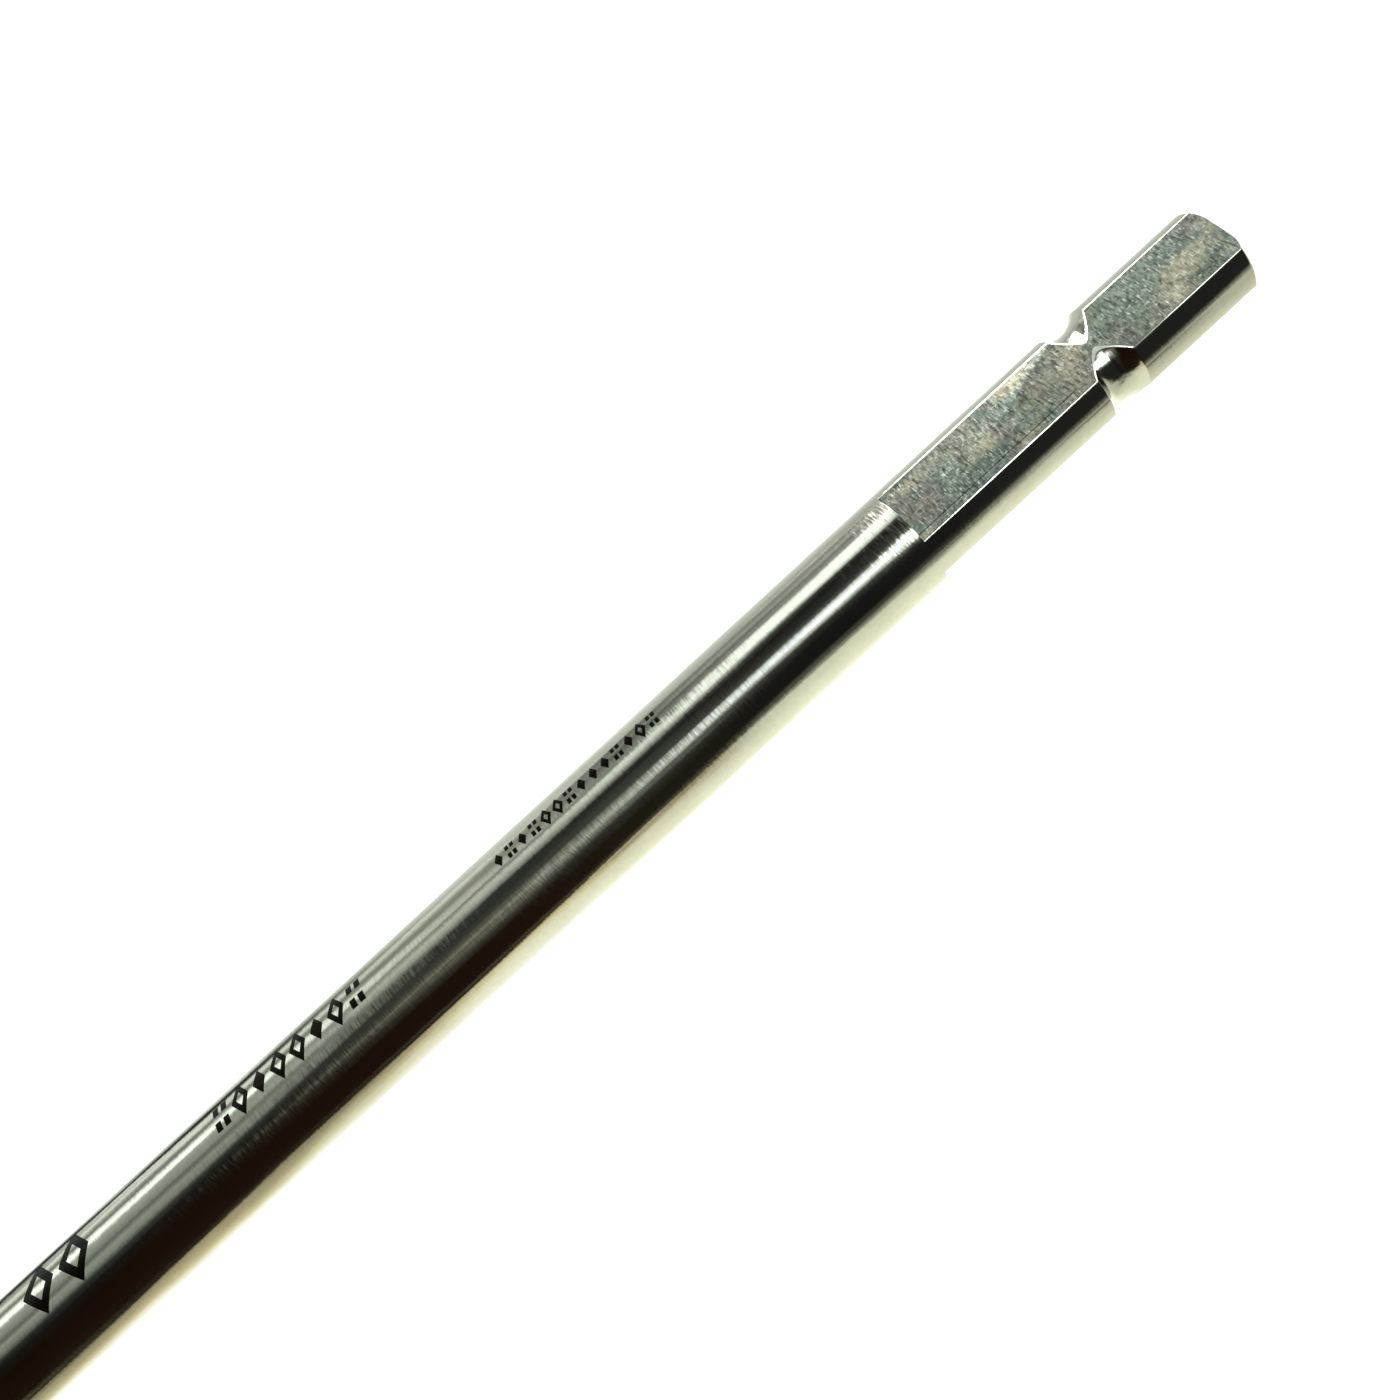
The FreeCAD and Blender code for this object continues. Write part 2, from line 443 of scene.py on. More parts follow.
class Sums:
    """Arithmetic on the sockets of one node tree, so that a formula reads on a line or two."""

    def __init__(self, tree: Tree) -> None:
        """Keeps the tree that the nodes go in."""
        self.tree = tree

    def __call__(self, operation: str, *values: object) -> Socket:
        """The result of one operation on values or sockets."""
        return add_node(
            self.tree, "ShaderNodeMath", {"operation": operation},
            dict(enumerate(values))).outputs[0]

    def product(self, *values: object) -> Socket:
        """The product of several values."""
        whole = values[0]
        for value in values[1:]:
            whole = self("MULTIPLY", whole, value)
        return whole

    def length(self, first: object, second: object) -> Socket:
        """The length of a two-part vector."""
        return self("SQRT", self(
            "ADD", self("MULTIPLY", first, first), self("MULTIPLY", second, second)))

    def within(self, value: object, low: object, high: object) -> Socket:
        """1 where value lies between low and high, and 0 elsewhere."""
        return self("MULTIPLY", self("GREATER_THAN", value, low), self("LESS_THAN", value, high))


# ------------------------------------------------------------------ finishes


# Noise keeps to the middle of its range from 0 to 1: it mostly swings this far either way of 0.5.
NOISE_SWING = 0.2
# A patch is clear at the first of these noise levels and full at the second.
PATCH_CLEAR, PATCH_FULL = 0.35, 0.65
# How much of the patches' noise is the finer one.
FINE_SHARE = 0.4
# These keep patterns apart: one grain's from the next one's, and a grain's two tilts.
GRAIN_SHIFT, LENGTHWAYS_SHIFT = 3.1, 17.0


@dataclass(frozen=True)
class Grain:
    """Marks of a finishing process, which tilt the surface a little to and fro.

    Attributes:
        along: size of a mark along the tool, in millimetres.
        across: size of a mark across the tool, in millimetres.
        sideways: tilt round the tool's axis, in degrees.
        lengthways: tilt along the tool's axis, in degrees.
    """

    along: float
    across: float
    sideways: float
    lengthways: float = 0.0


@dataclass(frozen=True)
class Steel:
    """Stainless steel in one finish.

    Attributes:
        name: the material's name.
        tint: the metal's colour.
        dull: a darker colour for the cloudy patches.
        roughness: the finish's mean roughness.
        spread: how much the roughness varies.
        grains: the marks of its finishing processes.
        cloud: size of the cloudy patches, in millimetres.
        cloudiness: how strongly they show, 0 to 1.
        ragged: how many times smaller the patches' ragged edges are than the patches.
    """

    name: str
    tint: str
    dull: str
    roughness: float
    spread: float
    grains: Tuple[Grain, ...]
    cloud: float = 2.0
    cloudiness: float = 0.3
    ragged: float = 6.0

    def material(self) -> bpy.types.Material:
        """Builds the material.

        Returns:
            The material.
        """
        made = bare_material(self.name)
        tree = made.node_tree
        place = add_node(tree, "ShaderNodeTexCoord").outputs["Object"]
        colour, roughness = self.surface(tree, place)
        shader = add_node(tree, "ShaderNodeBsdfPrincipled", inputs={
            "Base Color": colour,
            "Metallic": 1.0,
            "Roughness": roughness,
            "Normal": self.relief(tree, place),
        })
        add_node(tree, "ShaderNodeOutputMaterial", inputs={"Surface": shader.outputs[0]})
        return made

    def noise(
        self, tree: Tree, place: Socket, along: float, across: float,
        detail: float = 3.0, shift: float = 0.0,
    ) -> Socket:
        """Noise in marks of a real size.

        Args:
            tree: the material's node tree.
            place: the point on the piece.
            along: size of a mark along the tool, in millimetres.
            across: size of a mark across the tool, in millimetres.
            detail: how many finer layers the noise has.
            shift: moves the pattern, so that two noises don't fall together.

        Returns:
            The noise's level, from 0 to 1.
        """
        scale = (1 / (along * MM), 1 / (across * MM), 1 / (across * MM))
        moved = add_node(tree, "ShaderNodeMapping", {"vector_type": "POINT"}, {
            "Vector": place, "Scale": scale, "Location": (shift, shift, shift)})
        return add_node(tree, "ShaderNodeTexNoise", inputs={
            "Vector": moved.outputs[0], "Scale": 1.0, "Detail": detail}).outputs[0]

    def surface(self, tree: Tree, place: Socket) -> Tuple[Socket, Socket]:
        """Colour and roughness, clouded as a handled surface is.

        Args:
            tree: the material's node tree.
            place: the point on the piece.

        Returns:
            The colour and the roughness.
        """
        sums = Sums(tree)
        patches = self.noise(tree, place, self.cloud, self.cloud)
        small = self.cloud / self.ragged
        fine = self.noise(tree, place, small, small, 5.0)
        both = sums(
            "ADD", sums("MULTIPLY", patches, 1 - FINE_SHARE), sums("MULTIPLY", fine, FINE_SHARE))
        share = add_node(tree, "ShaderNodeMapRange", inputs={
            "Value": both, "From Min": PATCH_CLEAR, "From Max": PATCH_FULL,
            "To Max": self.cloudiness})
        colour = add_node(tree, "ShaderNodeMix", {"data_type": "RGBA"}, {
            "Factor": share.outputs[0], 6: linear(self.tint), 7: linear(self.dull)})
        roughness = add_node(tree, "ShaderNodeMapRange", inputs={
            "Value": both, "From Min": 0.5 - NOISE_SWING, "From Max": 0.5 + NOISE_SWING,
            "To Min": self.roughness - self.spread, "To Max": self.roughness + self.spread})
        return colour.outputs[2], roughness.outputs[0]

    def relief(self, tree: Tree, place: Socket) -> Socket:
        """Tilts the surface's normal by each grain in turn.

        Args:
            tree: the material's node tree.
            place: the point on the piece.

        Returns:
            The tilted normal.
        """
        sums = Sums(tree)
        normal = add_node(tree, "ShaderNodeNewGeometry").outputs["Normal"]
        around = add_node(tree, "ShaderNodeVectorMath", {"operation": "CROSS_PRODUCT"}, {
            0: (1.0, 0.0, 0.0), 1: normal}).outputs[0]
        for number, grain in enumerate(self.grains):
            moved = GRAIN_SHIFT * number
            for direction, tilt, shift in (
                    (around, grain.sideways, moved),
                    ((1.0, 0.0, 0.0), grain.lengthways, LENGTHWAYS_SHIFT + moved)):
                if tilt == 0:
                    continue
                level = self.noise(tree, place, grain.along, grain.across, shift=shift)
                amount = sums("MULTIPLY", sums(
                    "SUBTRACT", level, 0.5), math.tan(math.radians(tilt)) / NOISE_SWING)
                push = add_node(tree, "ShaderNodeVectorMath", {"operation": "SCALE"}, {
                    0: direction, "Scale": amount}).outputs[0]
                normal = add_node(tree, "ShaderNodeVectorMath", {"operation": "ADD"}, {
                    0: normal, 1: push}).outputs[0]
        return add_node(
            tree, "ShaderNodeVectorMath", {"operation": "NORMALIZE"}, {0: normal}).outputs[0]


@dataclass(frozen=True)
class DetentGroove:
    """The round groove that a chuck's balls drop into.

    Attributes:
        station: the groove's middle.
        depth: how far it goes into the bar, in millimetres.
        profile_r: radius of its round profile.
    """

    station: float = 9.5
    depth: float = 0.56
    profile_r: float = 1.8

    @property
    def ring_r(self) -> float:
        """Radius of the ring that the round profile is centred on."""
        return BAR_R - self.depth + self.profile_r


@dataclass(frozen=True)
class Layer:
    """One kind of mark over a worn flat.

    Attributes:
        tone: the marks' colour.
        along: size of a mark along the tool, in millimetres.
        across: size of a mark across the tool, in millimetres.
        detail: how many finer layers its noise has.
        shift: moves the pattern, so that two layers don't fall together.
        low: noise level at which the marks start.
        high: noise level at which they are full.
        strength: how much they cover there, 0 to 1.
    """

    tone: str
    along: float
    across: float
    detail: float
    shift: float
    low: float
    high: float
    strength: float


@dataclass(frozen=True)
class ToolLine:
    """A thin broken line that a cutter's corner left on the upper flat.

    Attributes:
        tone: the line's colour.
        strength: how much it covers, 0 to 1.
        y: how far from the middle it runs, in millimetres towards -Y.
        half_width: half its width.
        wander: how far it strays to and fro.
        wander_length: over what length it strays.
        gap_level: noise level under which it is broken off.
        gap_length: how long a gap is.
        start: station where it starts.
        floor: height over the axis above which it is drawn.
    """

    tone: str = "#2B2A26"
    strength: float = 0.9
    y: float = 1.42
    half_width: float = 0.028
    wander: float = 0.1
    wander_length: float = 3.0
    gap_level: float = 0.36
    gap_length: float = 0.7
    start: float = 12.0
    floor: float = 2.4


@dataclass(frozen=True)
class WornFlat(Steel):
    """A milled flat after tumbling and use: clouds in several tones, flecks, a tool line, and a
    highlight painted beside the groove.

    Attributes:
        layers: the marks, from the lowest up.
        line: the tool line.
        groove: the groove beside which the highlight is painted.
        rim_width: how far from the groove the painted highlight reaches on the flat.
        painted_highlight_tone: the near-white colour of the painted highlight.
        rim_lean: how far the rim's normal leans outwards, as a slope.
    """

    layers: Tuple[Layer, ...] = ()
    line: ToolLine = ToolLine()
    groove: DetentGroove = DetentGroove()
    rim_width: float = 0.05
    painted_highlight_tone: str = "#EFF0E6"
    rim_lean: float = 1.6

    def surface(self, tree: Tree, place: Socket) -> Tuple[Socket, Socket]:
        """The cloudy steel's colour and roughness, with the marks, the line and the rim's painted
        highlight over them.

        Args:
            tree: the material's node tree.
            place: the point on the piece.

        Returns:
            The colour and the roughness.
        """
        colour, roughness = super().surface(tree, place)
        covers: List[Tuple[Socket, str]] = []
        for layer in self.layers:
            level = self.noise(
                tree, place, layer.along, layer.across, layer.detail, layer.shift)
            share = add_node(tree, "ShaderNodeMapRange", inputs={
                "Value": level, "From Min": layer.low, "From Max": layer.high,
                "To Max": layer.strength})
            covers.append((share.outputs[0], layer.tone))
        covers.append((self.tool_line(tree, place), self.line.tone))
        # The rim beside the groove is painted near white: a painted highlight.
        covers.append((self.rim(tree, place), self.painted_highlight_tone))
        for share, tone in covers:
            colour = add_node(tree, "ShaderNodeMix", {"data_type": "RGBA"}, {
                "Factor": share, 6: colour, 7: linear(tone)}).outputs[2]
        return colour, roughness

    def relief(self, tree: Tree, place: Socket) -> Socket:
        """The surface's normal, which leans outwards where the rim is rubbed round.

        Args:
            tree: the material's node tree.
            place: the point on the piece.

        Returns:
            The normal.
        """
        normal = super().relief(tree, place)
        spoke = add_node(tree, "ShaderNodeVectorMath", {"operation": "MULTIPLY_ADD"}, {
            0: place, 1: (0.0, 1.0, 1.0), 2: (0.0, 0.0, -AXIS_Z)}).outputs[0]
        outward = add_node(
            tree, "ShaderNodeVectorMath", {"operation": "NORMALIZE"}, {0: spoke}).outputs[0]
        slope = Sums(tree)("MULTIPLY", self.rim(tree, place), self.rim_lean)
        lean = add_node(tree, "ShaderNodeVectorMath", {"operation": "SCALE"}, {
            0: outward, "Scale": slope}).outputs[0]
        both = add_node(
            tree, "ShaderNodeVectorMath", {"operation": "ADD"}, {0: normal, 1: lean}).outputs[0]
        return add_node(
            tree, "ShaderNodeVectorMath", {"operation": "NORMALIZE"}, {0: both}).outputs[0]

    def rim(self, tree: Tree, place: Socket) -> Socket:
        """Finds the narrow rim beside the detent groove, where a highlight is painted.

        Args:
            tree: the material's node tree.
            place: the point on the piece.

        Returns:
            1 on the rim and 0 elsewhere.
        """
        sums = Sums(tree)
        xyz = add_node(tree, "ShaderNodeSeparateXYZ", inputs={0: place}).outputs
        along = sums("SUBTRACT", xyz[0], at(self.groove.station).x)
        radius = sums.length(xyz[1], sums("SUBTRACT", xyz[2], AXIS_Z))
        reach = sums.length(along, sums("SUBTRACT", self.groove.ring_r * MM, radius))
        return sums("LESS_THAN", reach, (self.groove.profile_r + self.rim_width) * MM)

    def tool_line(self, tree: Tree, place: Socket) -> Socket:
        """Finds the tool line.

        Args:
            tree: the material's node tree.
            place: the point on the piece.

        Returns:
            The line's strength on it, and 0 elsewhere.
        """
        sums = Sums(tree)
        line = self.line
        xyz = add_node(tree, "ShaderNodeSeparateXYZ", inputs={0: place}).outputs
        straying = self.noise(tree, place, line.wander_length, line.wander_length)
        wander = sums("MULTIPLY", sums("SUBTRACT", straying, 0.5), line.wander * MM)
        across = sums("ADD", sums("ADD", xyz[1], line.y * MM), wander)
        gaps = self.noise(tree, place, line.gap_length, line.gap_length, shift=2.0)
        broken = sums("GREATER_THAN", gaps, line.gap_level)
        return sums.product(
            sums.within(across, -line.half_width * MM, line.half_width * MM), broken,
            line.strength, sums("LESS_THAN", xyz[0], at(line.start).x),
            sums("GREATER_THAN", xyz[2], AXIS_Z + line.floor * MM))


@dataclass(frozen=True)
class MarkRow:
    """A row of laser-marked shapes, which stands for a code and spells nothing.

    Attributes:
        start: station of the row's first cell, in millimetres.
        pitch: length of a cell along the tool.
        cells: how many cells the row has.
        height: height of a shape, measured round the shaft.
        stroke: width of a line.
        seed: picks each cell's shape.
        lift: how far the row's middle stands above the marks' middle.
    """

    start: float
    pitch: float
    cells: int
    height: float
    stroke: float
    seed: float
    lift: float = 0.0


@dataclass(frozen=True)
class MarkedSteel(Steel):
    """Polished stainless steel with black laser-annealed marks.

    Attributes:
        ink: colour of the annealed oxide.
        ink_roughness: the oxide keeps most of the polish under it.
        rows: the rows of marks.
        mark_turn: direction of the marks' middle round the shaft, degrees from +Z towards +Y.
        half_diamond: half a hollow diamond's width, as a share of a cell.
        outline: a hollow diamond's line, as a multiple of the row's stroke.
        solid_size: a solid diamond's size, as a share of a hollow one's.
        dot_side: where a dot starts and ends along the tool, as shares of half a diamond.
        dot_height: where it starts and ends round the shaft.
        hollow_share: the share of cells that hold a hollow diamond.
        drawn_share: the share that hold a diamond of either kind. The rest hold four dots.
    """

    ink: str = "#17140F"
    ink_roughness: float = 0.3
    rows: Tuple[MarkRow, ...] = ()
    mark_turn: float = 20.6
    half_diamond: float = 0.43
    outline: float = 1.2
    solid_size: float = 0.76
    dot_side: Tuple[float, float] = (0.16, 0.80)
    dot_height: Tuple[float, float] = (0.20, 0.74)
    hollow_share: float = 0.42
    drawn_share: float = 0.68

    def surface(self, tree: Tree, place: Socket) -> Tuple[Socket, Socket]:
        """The plain steel's colour and roughness, with the marks over them.

        Args:
            tree: the material's node tree.
            place: the point on the piece.

        Returns:
            The colour and the roughness.
        """
        colour, roughness = super().surface(tree, place)
        mask = self.marks(tree, place)
        inked = add_node(tree, "ShaderNodeMix", {"data_type": "RGBA"}, {
            "Factor": mask, 6: colour, 7: linear(self.ink)})
        dulled = add_node(tree, "ShaderNodeMix", {"data_type": "FLOAT"}, {
            "Factor": mask, 2: roughness, 3: self.ink_roughness})
        return inked.outputs[2], dulled.outputs[0]

    def marks(self, tree: Tree, place: Socket) -> Socket:
        """Finds the marks.

        Args:
            tree: the material's node tree.
            place: the point on the piece.

        Returns:
            1 on the marks and 0 on bare steel.
        """
        sums = Sums(tree)
        xyz = add_node(tree, "ShaderNodeSeparateXYZ", inputs={0: place}).outputs
        station = sums("MULTIPLY", sums("SUBTRACT", SHANK_END_X, xyz[0]), 1 / MM)
        turn = sums("ARCTAN2", xyz[1], sums("SUBTRACT", xyz[2], AXIS_Z))
        around = sums("MULTIPLY", sums("SUBTRACT", turn, math.radians(self.mark_turn)), BAR_R)
        mask: object = 0.0
        for row in self.rows:
            mask = sums("MAXIMUM", mask, self.row(tree, station, around, row))
        return mask

    def row(self, tree: Tree, station: Socket, around: Socket, row: MarkRow) -> Socket:
        """Finds one row, whose cells hold a hollow diamond, a solid one, or four dots.

        Args:
            tree: the material's node tree.
            station: the point's station, in millimetres.
            around: how far the point is from the marks' middle round the shaft.
            row: the row.

        Returns:
            1 on the row's marks and 0 elsewhere.
        """
        sums = Sums(tree)
        cell = sums("DIVIDE", sums("SUBTRACT", station, row.start), row.pitch)
        number = sums("FLOOR", cell)
        draw = add_node(tree, "ShaderNodeTexWhiteNoise", {"noise_dimensions": "1D"}, {
            "W": sums("ADD", number, row.seed)}).outputs["Value"]
        side = sums("ABSOLUTE", sums(
            "MULTIPLY", sums("SUBTRACT", sums("FRACT", cell), 0.5), row.pitch))
        height = sums("ABSOLUTE", sums("SUBTRACT", around, row.lift))
        half_width, half_height = self.half_diamond * row.pitch, row.height / 2
        rim = sums("MULTIPLY_ADD", height, half_width / half_height, side)
        hollow = sums.within(rim, half_width - self.outline * row.stroke, half_width)
        solid = sums("LESS_THAN", rim, self.solid_size * half_width)
        dots = sums(
            "MULTIPLY",
            sums.within(side, *(share * half_width for share in self.dot_side)),
            sums.within(height, *(share * half_height for share in self.dot_height)))
        diamonds = sums(
            "ADD",
            sums("MULTIPLY", hollow, sums("LESS_THAN", draw, self.hollow_share)),
            sums("MULTIPLY", solid, sums.within(draw, self.hollow_share, self.drawn_share)))
        shapes = sums("ADD", diamonds, sums(
            "MULTIPLY", dots, sums("GREATER_THAN", draw, self.drawn_share)))
        return sums.product(
            shapes, sums.within(number, -0.5, row.cells - 0.5),
            sums("LESS_THAN", height, half_height))


@dataclass(frozen=True)
class Plastic:
    """Natural bearing-grade plastic, turned from bar: beige and slightly glossy, with tool rings.

    Attributes:
        name: the material's name.
        tint: the plastic's colour.
        shade: a darker colour for its mottling.
        mottle: size of the mottling, in millimetres.
        roughness: a dull gloss.
        ring_pitch: distance between the tool rings.
        ring_depth: their depth.
    """

    name: str = "natural PEEK, turned"
    tint: str = "#C6AD86"
    shade: str = "#B59A70"
    mottle: float = 1.5
    roughness: float = 0.38
    ring_pitch: float = 0.12
    ring_depth: float = 0.001

    def material(self) -> bpy.types.Material:
        """Builds the material.

        Returns:
            The material.
        """
        made = bare_material(self.name)
        tree = made.node_tree
        place = add_node(tree, "ShaderNodeTexCoord").outputs["Object"]
        mottle = add_node(tree, "ShaderNodeTexNoise", inputs={
            "Vector": place, "Scale": 1 / (self.mottle * MM), "Detail": 4.0}).outputs[0]
        colour = add_node(tree, "ShaderNodeMix", {"data_type": "RGBA"}, {
            "Factor": mottle, 6: linear(self.tint), 7: linear(self.shade)})
        # A wave texture at a scale of 1 repeats every pi / 10.
        rings = add_node(tree, "ShaderNodeTexWave", {"bands_direction": "X"}, {
            "Vector": place, "Scale": math.pi / (10 * self.ring_pitch * MM)}).outputs[0]
        bump = add_node(tree, "ShaderNodeBump", inputs={
            "Strength": 1.0, "Distance": self.ring_depth * MM, "Height": rings})
        shader = add_node(tree, "ShaderNodeBsdfPrincipled", inputs={
            "Base Color": colour.outputs[2], "Roughness": self.roughness, "IOR": 1.65,
            "Normal": bump.outputs[0]})
        add_node(tree, "ShaderNodeOutputMaterial", inputs={"Surface": shader.outputs[0]})
        return made


# Centreless-ground, then polished stainless bar: mirror bright, with hair-fine grinding lines round
# it that fray the edges of highlights, a slight waviness, and faint lines along it from handling.
# The grinding lines are finer in truth, and drawn as coarse as they need to show.
POLISHED_BAR = MarkedSteel(
    name="stainless steel bar, ground and polished",
    tint="#D4D1C6", dull="#C4C1B4", roughness=0.10, spread=0.03,
    grains=(
        Grain(0.09, 0.8, 0.55, 1.6), Grain(6.0, 1.6, 0.35), Grain(16.0, 0.30, 1.5)),
    cloud=2.4, cloudiness=0.5,
    rows=(
        MarkRow(start=40.3, pitch=0.87, cells=14, height=1.36, stroke=0.19, seed=3.0),
        MarkRow(start=62.0, pitch=1.41, cells=8, height=2.23, stroke=0.29, seed=43.0),
        MarkRow(start=82.2, pitch=2.6, cells=2, height=3.3, stroke=0.5, seed=20.0, lift=-0.2),
    ),
)
# Milled flats, tumbled after milling and worn in a chuck: satin grey-green, with clouds of beige
# and violet, dark marks across, pale flecks, and one line from the cutter's corner.
BEIGE, VIOLET, DARK, FLECK = "#B6B09A", "#857C7A", "#3B423C", "#EFF0E6"
# Its rim beside the groove is painted near white: a painted highlight.
MILLED_FLAT = WornFlat(
    name="stainless steel flat, milled and tumbled",
    tint="#A3AFA3", dull="#66726B", roughness=0.33, spread=0.07,
    grains=(Grain(0.14, 0.30, 2.5, 2.5), Grain(1.6, 1.0, 1.5, 1.5)),
    cloud=3.2, cloudiness=0.95,
    layers=(
        Layer(BEIGE, 3.4, 1.5, 6.0, 5.0, 0.47, 0.62, 0.85),
        Layer(VIOLET, 1.6, 2.4, 6.0, 11.0, 0.50, 0.66, 0.7),
        Layer(DARK, 0.16, 0.75, 4.0, 7.0, 0.50, 0.70, 0.75),
        Layer(DARK, 0.22, 0.22, 3.0, 17.0, 0.52, 0.66, 0.55),
        Layer(FLECK, 0.10, 0.42, 3.0, 23.0, 0.56, 0.74, 0.75),
        Layer(FLECK, 0.4, 0.05, 1.0, 29.0, 0.70, 0.74, 0.9),
    ),
)
# Rims of the shaft's broken edges: nearly white, and too soft to mirror. The near-white tint is a
# painted highlight that stands for the edges' glint.
PAINTED_GLINT_RIM = Steel(
    name="stainless steel rim, burnished",
    tint="#FAFAF4", dull="#E4E5DC", roughness=0.45, spread=0.05,
    grains=(Grain(0.15, 0.15, 1.5, 1.5),),
    cloud=0.9, cloudiness=0.6,
)
# Bead-blasted stainless steel: an even fine-grained satin that spreads highlights.
BLASTED = Steel(
    name="stainless steel, bead blasted",
    tint="#BEBDB6", dull="#A7A69E", roughness=0.38, spread=0.04,
    grains=(Grain(0.14, 0.14, 3.0, 3.0),),
    cloud=3.0, cloudiness=0.5,
)
# Hardened steel, ground to a fine finish: darker and slightly blue, with rings round the point.
HARDENED = Steel(
    name="hardened stainless steel, ground",
    tint="#A9ABAD", dull="#8D8F92", roughness=0.22, spread=0.05,
    grains=(Grain(0.08, 2.0, 0.6, 2.5),),
    cloud=1.2, cloudiness=0.5,
)
# Drawn spring wire: smooth, with a faint straw tone left by stress relieving.
WIRE = Steel(
    name="stainless spring wire, drawn",
    tint="#C4BDAC", dull="#A39B88", roughness=0.24, spread=0.05,
    grains=(Grain(0.15, 0.4, 1.0, 1.0),),
    cloud=0.8, cloudiness=0.5,
)
# Natural PEEK, turned: opaque beige with a dull gloss, and rings too fine to see from afar.
PEEK = Plastic()


class Palette:
    """Every finish built once."""

    def __init__(self) -> None:
        """Builds the materials."""
        self.polished = POLISHED_BAR.material()
        self.flat = MILLED_FLAT.material()
        self.painted_glint = PAINTED_GLINT_RIM.material()
        self.blasted = BLASTED.material()
        self.hardened = HARDENED.material()
        self.wire = WIRE.material()
        self.peek = PEEK.material()


def place_piece(
    piece: Piece, body: Body, materials: Sequence[bpy.types.Material],
    replaces: Sequence[str],
) -> Piece:
    """Dresses a finished piece, puts it on its body and hides the CAD nodes it stands for.

    Args:
        piece: the piece.
        body: the body it rides on.
        materials: its materials, in the order of its faces' material numbers.
        replaces: the CAD nodes it stands for.

    Returns:
        The same piece.
    """
    for material in materials:
        piece.data.materials.append(material)
    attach(piece, body.value)
    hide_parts(*replaces)
    return piece


# ------------------------------------------------------------------ drive shaft


class ShaftFace(Enum):
    """Which of the shaft's materials a face has."""

    BAR = 0
    FLAT = 1
    # The bevels' near-white finish, a painted highlight.
    RIM = 2


